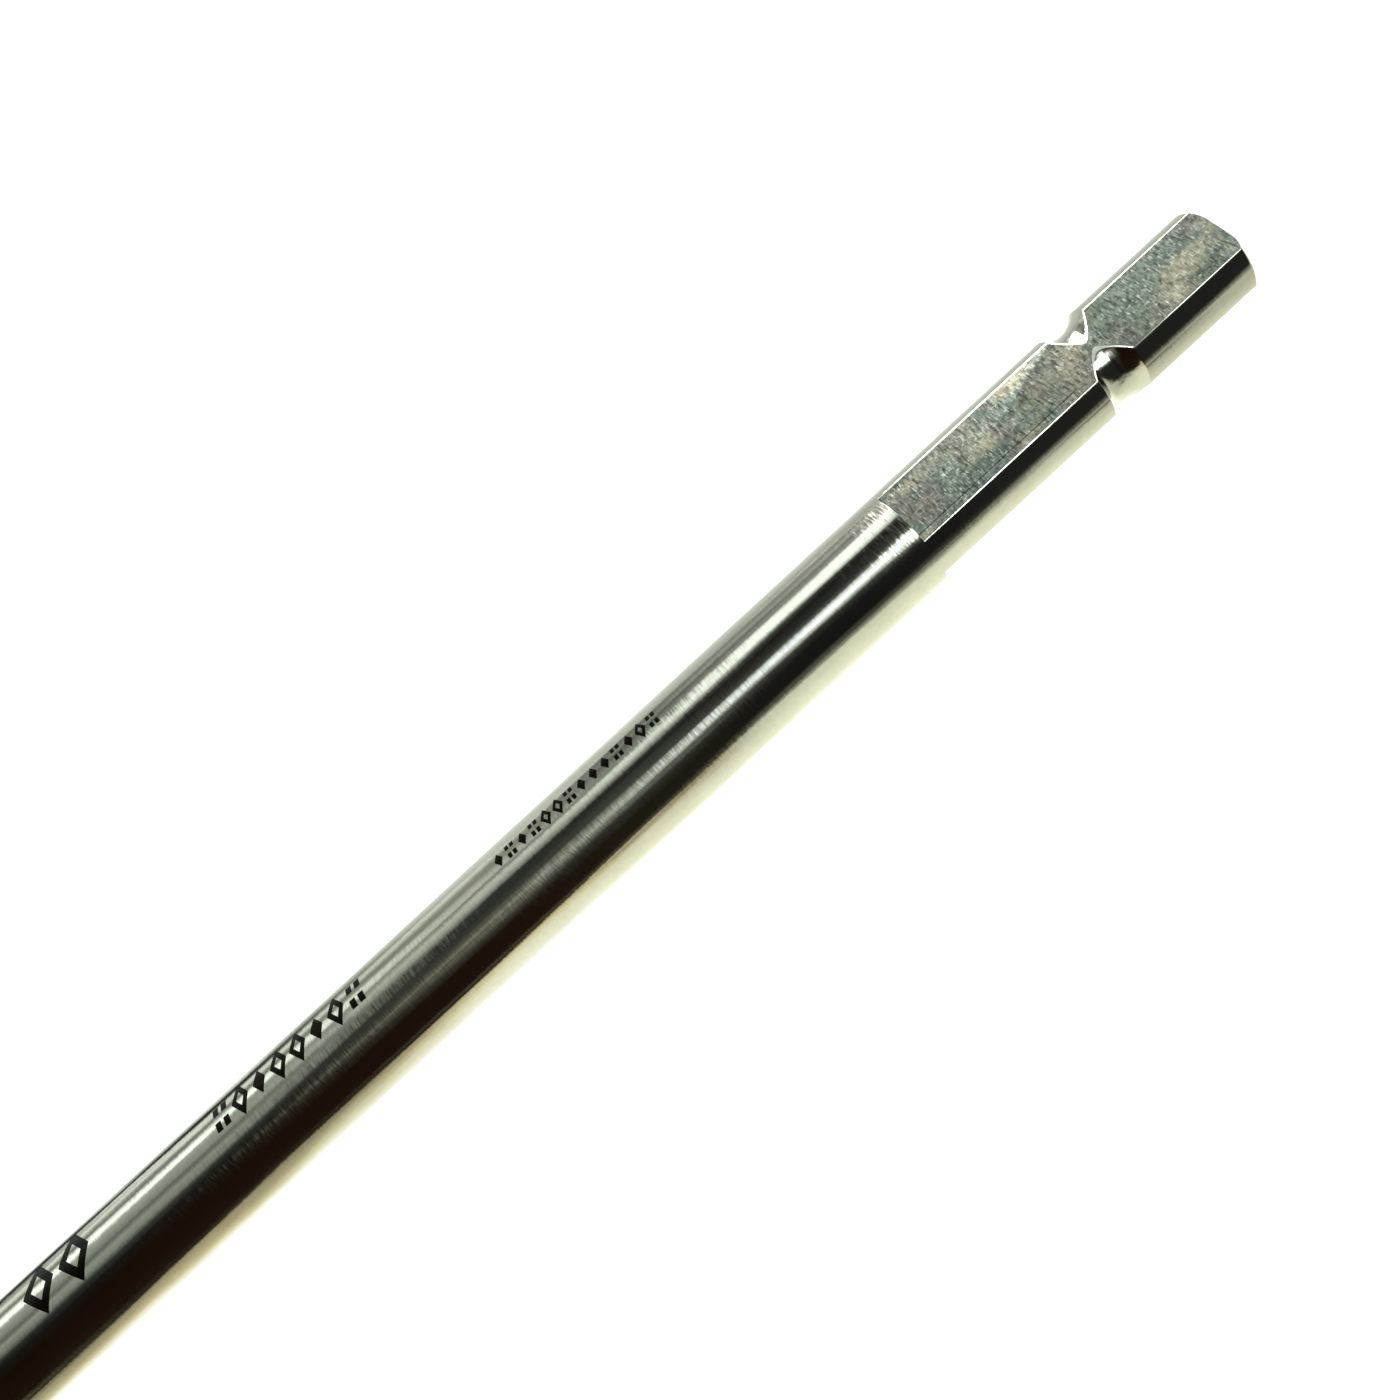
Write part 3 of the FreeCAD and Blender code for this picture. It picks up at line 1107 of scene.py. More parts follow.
@dataclass
class DriveShaft:
    """The round bar: drive shank, detent groove, running zone with its pin slots, and stem.

    Lengths are in millimetres. The two angles, in radians, say how sharp an edge has to be to be
    softened: crease on the flats beside the groove, and corner on the flats' shoulders.
    """

    end_chamfer: float = 0.30
    end_drop: float = 0.39
    flat_distance: float = 2.55
    flat_length: float = 23.5
    flat_edge_r: float = 0.24
    flat_turns: Tuple[float, ...] = (0, 120, 240)
    groove: DetentGroove = DetentGroove()
    groove_rounding: float = 0.10
    groove_reach: float = 1.6
    rim_bevel: float = 0.15
    crease: float = 0.12
    corner: float = 0.35
    run_start: float = 103.5
    run_r: float = 3.0
    slot_first: float = 118.0
    slot_last: float = 128.0
    slot_half: float = 0.85
    slot_floor: float = 2.0
    slot_top: float = 4.2
    segments: int = 480

    def outline(self) -> Outline:
        """The turned outline, from the shank's end face to the bottom of the spigot's bore.

        Returns:
            The outline's points as (station, radius) pairs in millimetres.
        """
        ring_r, profile_r = self.groove.ring_r, self.groove.profile_r
        half_turn = math.acos((ring_r - BAR_R) / profile_r)
        arc_steps = 18
        groove = [
            Corner(self.groove.station - profile_r * math.sin(half_turn), BAR_R, self.groove_rounding)]
        for step in range(1, arc_steps):
            turn = half_turn * (2 * step / arc_steps - 1)
            groove.append(Corner(
                self.groove.station + profile_r * math.sin(turn),
                ring_r - profile_r * math.cos(turn)))
        groove.append(Corner(
            self.groove.station + profile_r * math.sin(half_turn), BAR_R, self.groove_rounding))
        return rounded([
            Corner(0, 0),
            Corner(0, BAR_R - self.end_drop, 0.40),
            Corner(self.end_chamfer, BAR_R, 0.30),
            *groove,
            Corner(self.flat_length, BAR_R),
            Corner(self.run_start, BAR_R, 0.06),
            Corner(self.run_start, self.run_r, 0.05),
            Corner(STEM_START, self.run_r, 0.12),
            Corner(STEM_START, STEM_R),
            Corner(STEM_END, STEM_R, 0.08),
            Corner(STEM_END, SPIGOT_R, 0.05),
            Corner(SPIGOT_START, SPIGOT_R),
            Corner(SPIGOT_START, 0),
        ])

    def flat_cutter(self, turn: float) -> Mesh:
        """Makes a prism that leaves one drive flat with finely rounded long edges.

        Args:
            turn: which way the flat faces, in degrees from +Z towards -Y.

        Returns:
            The closed cutter.
        """
        edge_r = self.flat_edge_r
        side = math.sqrt((BAR_R - edge_r) ** 2 - (self.flat_distance - edge_r) ** 2)
        height = self.flat_distance - edge_r
        last = math.atan2(side, height)
        steps, overrun, clear = 3, 1.0, 2.0
        half: Outline = []
        for step in range(steps):
            low, high = last * step / steps, last * (step + 1) / steps
            middle, spread = (low + high) / 2, math.cos((high - low) / 2)
            half.append((
                side + edge_r * math.sin(middle) / spread,
                height + edge_r * math.cos(middle) / spread))
        half.append((half[-1][0] + clear * math.cos(last), half[-1][1] - clear * math.sin(last)))
        half.append((half[-1][0] + clear, half[-1][1] + 2 * clear))
        ring = [(-across, up) for across, up in reversed(half)] + half
        base = at(-overrun)
        mesh = prism(
            [base + Vector((0, across, up)) * MM for across, up in ring],
            Vector((-(self.flat_length + overrun) * MM, 0, 0)))
        swing(mesh, base, turn)
        return mesh

    def flat_normals(self) -> List[Vector]:
        """The directions that the three drive flats face."""
        return [
            Matrix.Rotation(math.radians(turn), 3, "X") @ Vector((0, 0, 1))
            for turn in self.flat_turns]

    def soften_edges(self, mesh: Mesh) -> None:
        """Breaks the edges of the flats' shoulders and the groove's edges on the flats, and gives the
        bevels the near-white rim finish, a painted highlight.

        Args:
            mesh: the cut bar.
        """
        plane = at(self.flat_length).x
        low = at(self.groove.station + self.groove_reach).x
        high = at(self.groove.station - self.groove_reach).x
        rim = []
        for edge in mesh.edges:
            if not edge.is_manifold or edge.calc_face_angle(0.0) < self.crease:
                continue
            ends = [vert.co for vert in edge.verts]
            at_shoulder = (
                all(abs(co.x - plane) < 10 * WELD * MM for co in ends)
                and min(radius_of(co) for co in ends) > BAR_R - NEAR
                and edge.calc_face_angle(0.0) > self.corner)
            on_flat = any(
                face.normal.dot(normal) > SAME_WAY
                for face in edge.link_faces for normal in self.flat_normals())
            if at_shoulder or (all(low < co.x < high for co in ends) and on_flat):
                rim.append(edge)
        # The bevels take the near-white rim finish: a painted highlight.
        for face in rounded_off(mesh, rim, self.rim_bevel, 4):
            face.material_index = ShaftFace.RIM.value

    def mark_flats(self, mesh: Mesh) -> None:
        """Gives the milled faces the flats' material.

        Args:
            mesh: the cut bar.
        """
        for face in mesh.faces:
            centre = face.calc_center_median()
            if station_of(centre.x) > self.flat_length + NEAR:
                continue
            for normal in self.flat_normals():
                off_plane = abs((centre - at(0)).dot(normal) / MM - self.flat_distance)
                if face.normal.dot(normal) > SAME_WAY and off_plane < NEAR:
                    face.material_index = ShaftFace.FLAT.value

    def build(self, palette: Palette) -> List[Piece]:
        """Makes the shaft and dresses it.

        Args:
            palette: the finishes.

        Returns:
            The shaft alone.
        """
        bar = turned(self.outline(), segments=self.segments)
        pin_hole = drill(-THROUGH, THROUGH, POINT_PIN_R, POINT_PIN_STATION, 0)
        cutters = [self.flat_cutter(turn) for turn in self.flat_turns]
        cutters += [
            slot_prism(
                self.slot_first, self.slot_last, self.slot_half, self.slot_floor,
                self.slot_top, turn)
            for turn in (0, 180)]
        cut = carved(bar, cutters + [pin_hole])
        self.soften_edges(cut)
        cut.normal_update()
        self.mark_flats(cut)
        piece = shaded(new_object("drive_shaft_bar", cut))
        finishes = [palette.polished, palette.flat, palette.painted_glint]
        return [place_piece(piece, Body.PUNCH, finishes, ["drive_shaft"])]


# ------------------------------------------------------------------ point, spring and washers


@dataclass
class PunchPoint:
    """The hardened insert and the pin that keeps it in the stem, in millimetres."""

    cone_start: float = 172.709
    tip: float = 176.0
    tip_r: float = 0.10
    pin_half: float = 1.9

    def build(self, palette: Palette) -> List[Piece]:
        """Makes both pieces and dresses them.

        Args:
            palette: the finishes.

        Returns:
            The point and its pin.
        """
        body = turned(rounded([
            Corner(SPIGOT_START, 0),
            Corner(SPIGOT_START, SPIGOT_R, 0.1),
            Corner(STEM_END, SPIGOT_R),
            Corner(STEM_END, STEM_R, 0.08),
            Corner(self.cone_start, STEM_R, 0.5),
            Corner(self.tip, self.tip_r, 0.09),
            Corner(self.tip, 0),
        ]), segments=128)
        hole = drill(-THROUGH, THROUGH, POINT_PIN_R, POINT_PIN_STATION, 0)
        point = shaded(new_object("hardened_point", carved(body, [hole])))
        place_piece(point, Body.PUNCH, [palette.hardened], ["punch_point"])
        pin = crossways(rounded([
            Corner(-self.pin_half, 0),
            Corner(-self.pin_half, POINT_PIN_R, 0.12),
            Corner(self.pin_half, POINT_PIN_R, 0.12),
            Corner(self.pin_half, 0),
        ]), POINT_PIN_STATION, 0)
        lock = shaded(new_object("point_cross_pin", pin))
        place_piece(lock, Body.PUNCH, [palette.hardened], ["point_lock_pin"])
        return [point, lock]


@dataclass
class SpringStack:
    """The coil spring and the two washers it pushes against, in millimetres."""

    washer_thickness: float = 0.8
    washer_bore_r: float = 2.25
    rear_washer_r: float = 2.95
    front_washer_r: float = 3.4
    mean_r: float = 2.6
    wire_r: float = 0.3
    end_pitch: float = 0.48
    active_turns: int = 7
    travel: float = 10.0

    @property
    def spring_start(self) -> float:
        """Station of the spring's rear end."""
        return STEM_START + self.washer_thickness

    @property
    def spring_end(self) -> float:
        """Station of the spring's front end at rest."""
        return FRONT_BUSHING_START - self.washer_thickness

    def washer(self, start: float, outer_r: float) -> Mesh:
        """Makes a stamped washer, with a rounded rim.

        Args:
            start: station of its rear face.
            outer_r: its outer radius in millimetres.

        Returns:
            The washer's mesh.
        """
        end = start + self.washer_thickness
        return turned(rounded([
            Corner(start, self.washer_bore_r, 0.08),
            Corner(start, outer_r, 0.2),
            Corner(end, outer_r, 0.08),
            Corner(end, self.washer_bore_r, 0.2),
        ], closed=True), closed=True, segments=128)

    def coil(self) -> Mesh:
        """Makes the spring's helix, its end turns closed and ground square.

        Returns:
            The spring's mesh.
        """
        start, end = self.spring_start, self.spring_end
        free = end - start - 2 * self.end_pitch
        pitch = (free - 0.25 * self.end_pitch) / (self.active_turns + 0.25)
        mesh = bmesh.new()
        ring = bmesh.ops.create_circle(
            mesh, cap_ends=True, segments=14, radius=self.wire_r * MM)["verts"]
        upright = Matrix.Rotation(math.radians(90), 4, "X")
        bmesh.ops.rotate(mesh, verts=ring, matrix=upright, cent=(0, 0, 0))
        bmesh.ops.translate(mesh, verts=ring, vec=at(start, self.mean_r))
        tip: List[bmesh.types.BMElem] = list(mesh.faces)
        for turns, advance in (
                (1.0, self.end_pitch), (0.25, (self.end_pitch + pitch) / 2),
                (self.active_turns - 0.25, pitch), (0.25, (self.end_pitch + pitch) / 2),
                (1.0, self.end_pitch)):
            steps = round(48 * turns)
            tip = bmesh.ops.spin(
                mesh, geom=tip, cent=at(0), axis=(1, 0, 0),
                dvec=(-advance * turns / steps * MM, 0, 0), angle=2 * math.pi * turns,
                steps=steps, use_merge=False, use_duplicate=False)["geom_last"]
        bmesh.ops.remove_doubles(mesh, verts=mesh.verts, dist=10 * WELD * MM)
        bmesh.ops.recalc_face_normals(mesh, faces=mesh.faces)
        for station, outward in ((start, 1), (end, -1)):
            cut = bmesh.ops.bisect_plane(
                mesh, geom=mesh.verts[:] + mesh.edges[:] + mesh.faces[:],
                plane_co=at(station), plane_no=(outward, 0, 0), clear_outer=True,
                dist=WELD * MM)["geom_cut"]
            edges = [item for item in cut if isinstance(item, bmesh.types.BMEdge)]
            bmesh.ops.triangle_fill(mesh, edges=edges, use_beauty=True)
        bmesh.ops.recalc_face_normals(mesh, faces=mesh.faces)
        return mesh

    def build(self, palette: Palette) -> List[Piece]:
        """Makes the three pieces and dresses them.

        Args:
            palette: the finishes.

        Returns:
            The rear washer, the front washer and the spring.
        """
        rear = shaded(new_object("rear_washer", self.washer(STEM_START, self.rear_washer_r)))
        place_piece(rear, Body.PUNCH, [palette.wire], ["rear_spring_washer"])
        front = shaded(new_object(
            "front_washer", self.washer(self.spring_end, self.front_washer_r)))
        place_piece(front, Body.SLEEVE, [palette.wire], ["front_spring_washer"])
        spring = shaded(new_object("coil_spring", self.coil()), 50.0)
        place_piece(spring, Body.PUNCH, [palette.wire], ["return_spring"])
        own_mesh(spring)
        return [rear, front, spring]


# ------------------------------------------------------------------ sleeve


@dataclass
class CenteringSleeve:
    """The tube round the shaft: neck, cleaning windows and guide-pin holes.

    Lengths are in millimetres. Cutters for the windows and holes reach from cut_foot to cut_head
    over the axis. An edge is on a window's rim if it is sharper than crease, in radians, and
    within rim_near of the sleeve's outside.
    """

    bore_r: float = 3.5
    window_half: float = 1.2
    window_start: float = 137.0
    window_end: float = 150.0
    windows: int = 4
    cut_foot: float = 2.0
    cut_head: float = 6.0
    rim_bevel: float = 0.16
    rim_near: float = 0.05
    crease: float = 0.6

    def build(self, palette: Palette) -> List[Piece]:
        """Makes the sleeve and dresses it.

        Args:
            palette: the finishes.

        Returns:
            The sleeve alone.
        """
        tube = turned(rounded([
            Corner(REAR_BUSHING_START, REAR_BUSHING_R, 0.08),
            Corner(REAR_BUSHING_START, NECK_R, 0.1),
            Corner(NECK_END, NECK_R),
            Corner(NECK_END, SLEEVE_R, 0.15),
            Corner(SLEEVE_END, SLEEVE_R, 0.12),
            Corner(SLEEVE_END, THREAD_R),
            Corner(FRONT_BUSHING_START, THREAD_R),
            Corner(FRONT_BUSHING_START, self.bore_r),
            Corner(REAR_BUSHING_END, self.bore_r),
            Corner(REAR_BUSHING_END, REAR_BUSHING_R),
        ], closed=True), closed=True)
        cutters = [
            slot_prism(
                self.window_start + self.window_half, self.window_end - self.window_half,
                self.window_half, self.cut_foot, self.cut_head,
                360 / self.windows * (number + 0.5))
            for number in range(self.windows)]
        cutters += [
            drill(self.cut_foot, self.cut_head, GUIDE_PIN_R, GUIDE_PIN_STATION, turn)
            for turn in (0, 180)]
        cut = carved(tube, cutters)
        rounded_off(cut, [edge for edge in cut.edges if self.on_rim(edge)], self.rim_bevel, 3)
        piece = shaded(new_object("sleeve_tube", cut))
        return [place_piece(
            piece, Body.SLEEVE, [palette.blasted], ["centering_sleeve"])]

    def on_rim(self, edge: bmesh.types.BMEdge) -> bool:
        """Whether an edge is on the outer rim of a window.

        Args:
            edge: an edge of the cut sleeve.

        Returns:
            True on a rim.
        """
        if not edge.is_manifold or edge.calc_face_angle(0.0) < self.crease:
            return False
        first, last = self.window_start - 2 * self.rim_near, self.window_end + 2 * self.rim_near
        return all(
            abs(radius_of(vert.co) - SLEEVE_R) <= self.rim_near
            and first < station_of(vert.co.x) < last
            for vert in edge.verts)


@dataclass
class SleeveNose:
    """The nose: a flange, a taper, and the pilot that seats in a hole, in millimetres."""

    flange_end: float = 162.0
    cone_end: float = 169.5
    pilot_r: float = 2.9
    end: float = 173.5
    end_chamfer: float = 0.35
    bore_r: float = 2.3

    def build(self, palette: Palette) -> List[Piece]:
        """Makes the nose and dresses it.

        Args:
            palette: the finishes.

        Returns:
            The nose alone.
        """
        body = turned(rounded([
            Corner(FRONT_BUSHING_START, FRONT_BUSHING_R, 0.08),
            Corner(FRONT_BUSHING_START, THREAD_R, 0.15),
            Corner(SLEEVE_END, THREAD_R),
            Corner(SLEEVE_END, SLEEVE_R, 0.1),
            Corner(self.flange_end, SLEEVE_R, 0.6),
            Corner(self.cone_end, self.pilot_r, 1.5),
            Corner(self.end - self.end_chamfer, self.pilot_r, 0.2),
            Corner(self.end, self.pilot_r - self.end_chamfer, 0.1),
            Corner(self.end, self.bore_r, 0.1),
            Corner(FRONT_BUSHING_END, self.bore_r),
            Corner(FRONT_BUSHING_END, FRONT_BUSHING_R),
        ], closed=True, steps=6), closed=True)
        piece = shaded(new_object("pilot_nose", body))
        return [place_piece(piece, Body.SLEEVE, [palette.blasted], ["sleeve_nose"])]


@dataclass
class Bushings:
    """The two plastic bushings that the sleeve runs on, in millimetres."""

    rear_bore_r: float = 3.03
    front_bore_r: float = 2.03
    lead_in: float = 0.2

    def ring(self, start: float, end: float, outer_r: float, inner_r: float) -> Mesh:
        """Makes one bushing, with its edges broken and a lead-in at each end of its bore.

        Args:
            start: station of its rear end.
            end: station of its front end.
            outer_r: its outer radius.
            inner_r: its bore's radius.

        Returns:
            The bushing's mesh.
        """
        return turned(rounded([
            Corner(start, inner_r + self.lead_in, 0.05),
            Corner(start, outer_r, 0.12),
            Corner(end, outer_r, 0.12),
            Corner(end, inner_r + self.lead_in, 0.05),
            Corner(end - self.lead_in, inner_r),
            Corner(start + self.lead_in, inner_r),
        ], closed=True), closed=True, segments=128)

    def build(self, palette: Palette) -> List[Piece]:
        """Makes both bushings and dresses them.

        Args:
            palette: the finishes.

        Returns:
            The rear bushing and the front bushing.
        """
        rear = self.ring(REAR_BUSHING_START, REAR_BUSHING_END, REAR_BUSHING_R, self.rear_bore_r)
        front = self.ring(
            FRONT_BUSHING_START, FRONT_BUSHING_END, FRONT_BUSHING_R, self.front_bore_r)
        made = []
        for name, mesh in (("rear_bushing", rear), ("front_bushing", front)):
            piece = shaded(new_object(name + "_ring", mesh))
            made.append(place_piece(piece, Body.SLEEVE, [palette.peek], [name]))
        return made


@dataclass
class GripCollar:
    """The finger collar, its two set screws, and the guide pins ahead of it.

    Lengths are in millimetres, and crease, in radians, is how sharp a scallop's edge is at least.
    """

    start: float = 114.0
    outer_r: float = 6.2
    chamfer: float = 0.7
    lip_bore_r: float = 3.5
    scallops: int = 6
    cutter_r: float = 3.0
    floor_r: float = 5.3
    ridge_bevel: float = 0.22
    crease: float = 0.3
    screw_station: float = 119.5
    screw_hole_r: float = 0.9
    screw_hole_foot: float = 3.4
    screw_hole_head: float = 8.0
    screw_r: float = 0.88
    screw_head: float = 5.95
    key: float = 0.9
    key_depth: float = 0.8
    pin_foot: float = 2.1
    pin_head: float = 4.56

    def scallop_cutter(self, turn: float) -> Mesh:
        """Makes a bar that cuts one scallop.

        Args:
            turn: the scallop's direction round the axis, in degrees from +Z towards -Y.

        Returns:
            The closed cutter.
        """
        overrun = 1.0
        mesh = bmesh.new()
        bmesh.ops.create_cone(
            mesh, cap_ends=True, segments=96, radius1=self.cutter_r * MM,
            radius2=self.cutter_r * MM, depth=(NECK_END - self.start + 2 * overrun) * MM,
            matrix=Matrix.Rotation(math.radians(90), 4, "Y"))
        middle = at((self.start + NECK_END) / 2, self.floor_r + self.cutter_r)
        bmesh.ops.translate(mesh, verts=mesh.verts, vec=middle)
        swing(mesh, at(0), turn)
        return mesh

    def collar(self) -> Mesh:
        """Makes the collar, with its scallops' edges rounded for the fingers.

        Returns:
            The collar's mesh.
        """
        body = turned(rounded([
            Corner(self.start, self.lip_bore_r, 0.1),
            Corner(self.start, self.outer_r - self.chamfer, 0.2),
            Corner(self.start + self.chamfer, self.outer_r, 0.3),
            Corner(NECK_END - self.chamfer, self.outer_r, 0.3),
            Corner(NECK_END, self.outer_r - self.chamfer, 0.2),
            Corner(NECK_END, NECK_R, 0.1),
            Corner(REAR_BUSHING_START, NECK_R),
            Corner(REAR_BUSHING_START, self.lip_bore_r),
        ], closed=True), closed=True, segments=240)
        cutters = [self.scallop_cutter(360 / self.scallops * n) for n in range(self.scallops)]
        scalloped = carved(body, cutters)
        ridges = [
            edge for edge in scalloped.edges
            if edge.is_manifold and edge.calc_face_angle(0.0) > self.crease
            and all(radius_of(vert.co) > self.floor_r - 0.1 for vert in edge.verts)]
        rounded_off(scalloped, ridges, self.ridge_bevel, 3)
        holes = [
            drill(
                self.screw_hole_foot, self.screw_hole_head, self.screw_hole_r,
                self.screw_station, turn)
            for turn in (90, 270)]
        return carved(scalloped, holes)

    def screw(self, turn: float) -> Mesh:
        """Makes one socket set screw.

        Args:
            turn: the screw's direction round the axis, in degrees from +Z towards -Y.

        Returns:
            The screw's mesh.
        """
        body = crossways(rounded([
            Corner(NECK_R, 0),
            Corner(NECK_R, self.screw_r, 0.2),
            Corner(self.screw_head, self.screw_r, 0.12),
            Corner(self.screw_head, 0),
        ]), self.screw_station, turn)
        socket = bmesh.new()
        corner_r = self.key / math.sqrt(3) * MM
        bmesh.ops.create_cone(
            socket, cap_ends=True, segments=6, radius1=corner_r, radius2=corner_r,
            depth=2 * self.key_depth * MM)
        bmesh.ops.translate(
            socket, verts=socket.verts, vec=at(self.screw_station, self.screw_head))
        swing(socket, at(0), turn)
        return carved(body, [socket])

    def pin(self, turn: float) -> Mesh:
        """Makes one guide pin, its ends rounded.

        Args:
            turn: the pin's direction round the axis, in degrees from +Z towards -Y.

        Returns:
            The pin's mesh.
        """
        return crossways(rounded([
            Corner(self.pin_foot, 0),
            Corner(self.pin_foot, GUIDE_PIN_R, 0.15),
            Corner(self.pin_head, GUIDE_PIN_R, 0.2),
            Corner(self.pin_head, 0),
        ]), GUIDE_PIN_STATION, turn)

    def build(self, palette: Palette) -> List[Piece]:
        """Makes the collar, screws and pins, and dresses them.

        Args:
            palette: the finishes.

        Returns:
            The screws, the pins and the collar.
        """
        screws = shaded(new_object("set_screws", joined([self.screw(90), self.screw(270)])))
        place_piece(
            screws, Body.SLEEVE, [palette.hardened], ["collar_set_screws"])
        pins = shaded(new_object("slot_pins", joined([self.pin(0), self.pin(180)])))
        place_piece(pins, Body.SLEEVE, [palette.hardened], ["guide_pins"])
        collar = shaded(new_object("finger_collar", self.collar()))
        place_piece(collar, Body.SLEEVE, [palette.blasted], ["grip_collar"])
        return [screws, pins, collar]


# ------------------------------------------------------------------ studio


@dataclass
class Camera:
    """The camera: close above the shank, looking square at the shaft and rolled.

    Attributes:
        lens: focal length in millimetres.
        sensor: sensor's width in millimetres.
        distance: how far it is from the tool's axis, in millimetres.
        station: the station at the middle of its view.
        offset: how far that middle is off the axis, in millimetres.
        off_vertical: how far it leans from straight above towards -Y, in degrees.
        roll: how far it is turned about its own line of sight, in degrees.
    """

    lens: float = 34.7
    sensor: float = 36.0
    distance: float = 75.5
    station: float = 38.1
    offset: float = 1.3
    off_vertical: float = 26.3
    roll: float = 42.65

    def build(self) -> None:
        """Makes the camera and gives it to the scene."""
        lean = math.radians(self.off_vertical)
        back = Vector((0, -math.sin(lean), math.cos(lean)))
        across = Vector((0, math.cos(lean), math.sin(lean)))
        roll = math.radians(self.roll)
        along = Vector((1, 0, 0))
        right = along * math.cos(roll) - across * math.sin(roll)
        up = along * math.sin(roll) + across * math.cos(roll)
        data = bpy.data.cameras.new("camera")
        data.lens, data.sensor_width = self.lens, self.sensor
        data.clip_start, data.clip_end = 1 * MM, 10.0
        camera = bpy.data.objects.new("camera", data)
        turn = Matrix((right, up, back)).transposed()
        spot = at(self.station) + (across * self.offset + back * self.distance) * MM
        camera.matrix_world = Matrix.Translation(spot) @ turn.to_4x4()
        bpy.context.scene.collection.objects.link(camera)
        bpy.context.scene.camera = camera


@dataclass(frozen=True)
class Band:
    """A stop of the studio's light.

    Attributes:
        angle: direction seen from the tool, in degrees from straight up towards -Y.
        level: brightness.
        tint: colour.
    """

    angle: float
    level: float
    tint: str = "#F6FFF6"


@dataclass(frozen=True)
class Zone:
    """The light round one stretch of the tool.

    Attributes:
        sky: share of a ray's direction along +X at which the zone is full.
        bench: place on the bench along X, in millimetres, at which the zone is full.
        bands: the light all the way round.
    """

    sky: float
    bench: float
    bands: Tuple[Band, ...]


CREAM, STRAW, COOL, MILK, UMBER = "#FBFFE8", "#FFF6C8", "#E9F6F0", "#FFFFFC", "#FFB88C"

# Up to 90 degrees either way is the room: strips of light before a wall on the +Y side, a small
# soft box a little past straight up, and an unlit wall on the -Y side. Beyond 90 degrees is the
# lit bench, brightest under the tool. A level of 1 is white.
GLINT = Zone(0.27, 95.0, (
    Band(-180, 1.60, MILK), Band(-126, 1.15), Band(-114, 0.75), Band(-102, 0.68), Band(-98, 0.55),
    Band(-88, 0.45), Band(-84, 7.0, MILK), Band(-45, 7.0, MILK), Band(-41, 0.40),
    Band(-20, 0.32), Band(-2, 0.24), Band(8, 0.30), Band(13, 6.0, COOL), Band(31, 6.0, COOL),
    Band(36, 0.10), Band(46, 0.02), Band(84, 0.02), Band(91, 0.20, CREAM), Band(96, 0.62, CREAM),
    Band(108, 0.76, CREAM), Band(119, 0.85, CREAM), Band(129, 1.2, CREAM), Band(150, 1.7, MILK),
    Band(180, 1.70, MILK),
))
SHANK = Zone(0.18, 68.0, (
    Band(-180, 1.60, MILK), Band(-126, 1.16), Band(-119, 1.02), Band(-114, 0.84),
    Band(-104, 0.76), Band(-92, 0.60), Band(-86, 0.40), Band(-80, 0.35), Band(-74, 0.53),
    Band(-62, 0.22), Band(-55, 0.40), Band(-48, 1.9, COOL), Band(-34, 1.9, COOL),
    Band(-29, 0.9, COOL), Band(-23, 0.05), Band(-14, 0.012), Band(2, 0.04), Band(11, 0.10),
    Band(16, 1.2, COOL), Band(22, 2.1, "#E5F0FF"), Band(27, 1.3, COOL), Band(33, 0.14),
    Band(39, 0.03), Band(50, 0.013), Band(78, 0.011), Band(86, 0.10, CREAM), Band(93, 0.55, CREAM),
    Band(104, 0.95, CREAM), Band(118, 1.20, CREAM), Band(134, 1.36, CREAM), Band(151, 1.6, MILK),
    Band(180, 1.70, MILK),
))
SHANK_END = replace(SHANK, sky=0.07, bench=54.0)
FORE = Zone(-0.065, 42.0, (
    Band(-180, 1.60, MILK), Band(-126, 1.20), Band(-112, 0.88), Band(-104, 0.80),
    Band(-92, 0.72), Band(-87, 0.26), Band(-80, 0.22), Band(-74, 0.34), Band(-62, 0.14),
    Band(-56, 0.24), Band(-44, 0.30), Band(-39, 1.20, COOL), Band(-31, 0.95, COOL),
    Band(-26, 0.45), Band(-20, 0.055), Band(-14, 0.02), Band(-3, 0.055), Band(10, 0.085),
    Band(16, 0.29), Band(22, 0.85, COOL), Band(28, 0.60), Band(34, 0.18), Band(40, 0.055),
    Band(60, 0.018, STRAW), Band(84, 0.018, STRAW), Band(92, 0.16, STRAW), Band(95, 0.62, STRAW),
    Band(106, 0.98, CREAM), Band(118, 1.20, CREAM), Band(134, 1.36, CREAM), Band(151, 1.6, MILK),
    Band(180, 1.70, MILK),
))
MIDDLE = Zone(-0.213, 31.0, (
    Band(-180, 1.60, MILK), Band(-126, 1.25), Band(-119, 1.15), Band(-112, 0.88),
    Band(-102, 0.86), Band(-95, 0.78), Band(-87, 0.74), Band(-79, 0.42), Band(-72, 0.33, CREAM),
    Band(-55, 0.72), Band(-49, 0.72), Band(-44, 0.22), Band(-37, 0.76), Band(-30, 0.68),
    Band(-24, 0.34), Band(-16, 0.045), Band(-2, 0.035), Band(10, 0.075), Band(17, 0.16, CREAM),
    Band(22, 0.29, CREAM), Band(28, 0.16, CREAM), Band(36, 0.06, CREAM), Band(50, 0.018, UMBER),
    Band(84, 0.016, UMBER), Band(91, 0.12, STRAW), Band(95, 0.66, STRAW), Band(106, 0.98, STRAW),
    Band(118, 1.18, CREAM), Band(129, 1.32, CREAM), Band(141, 1.42, MILK), Band(151, 1.6, MILK),
    Band(180, 1.70, MILK),
))
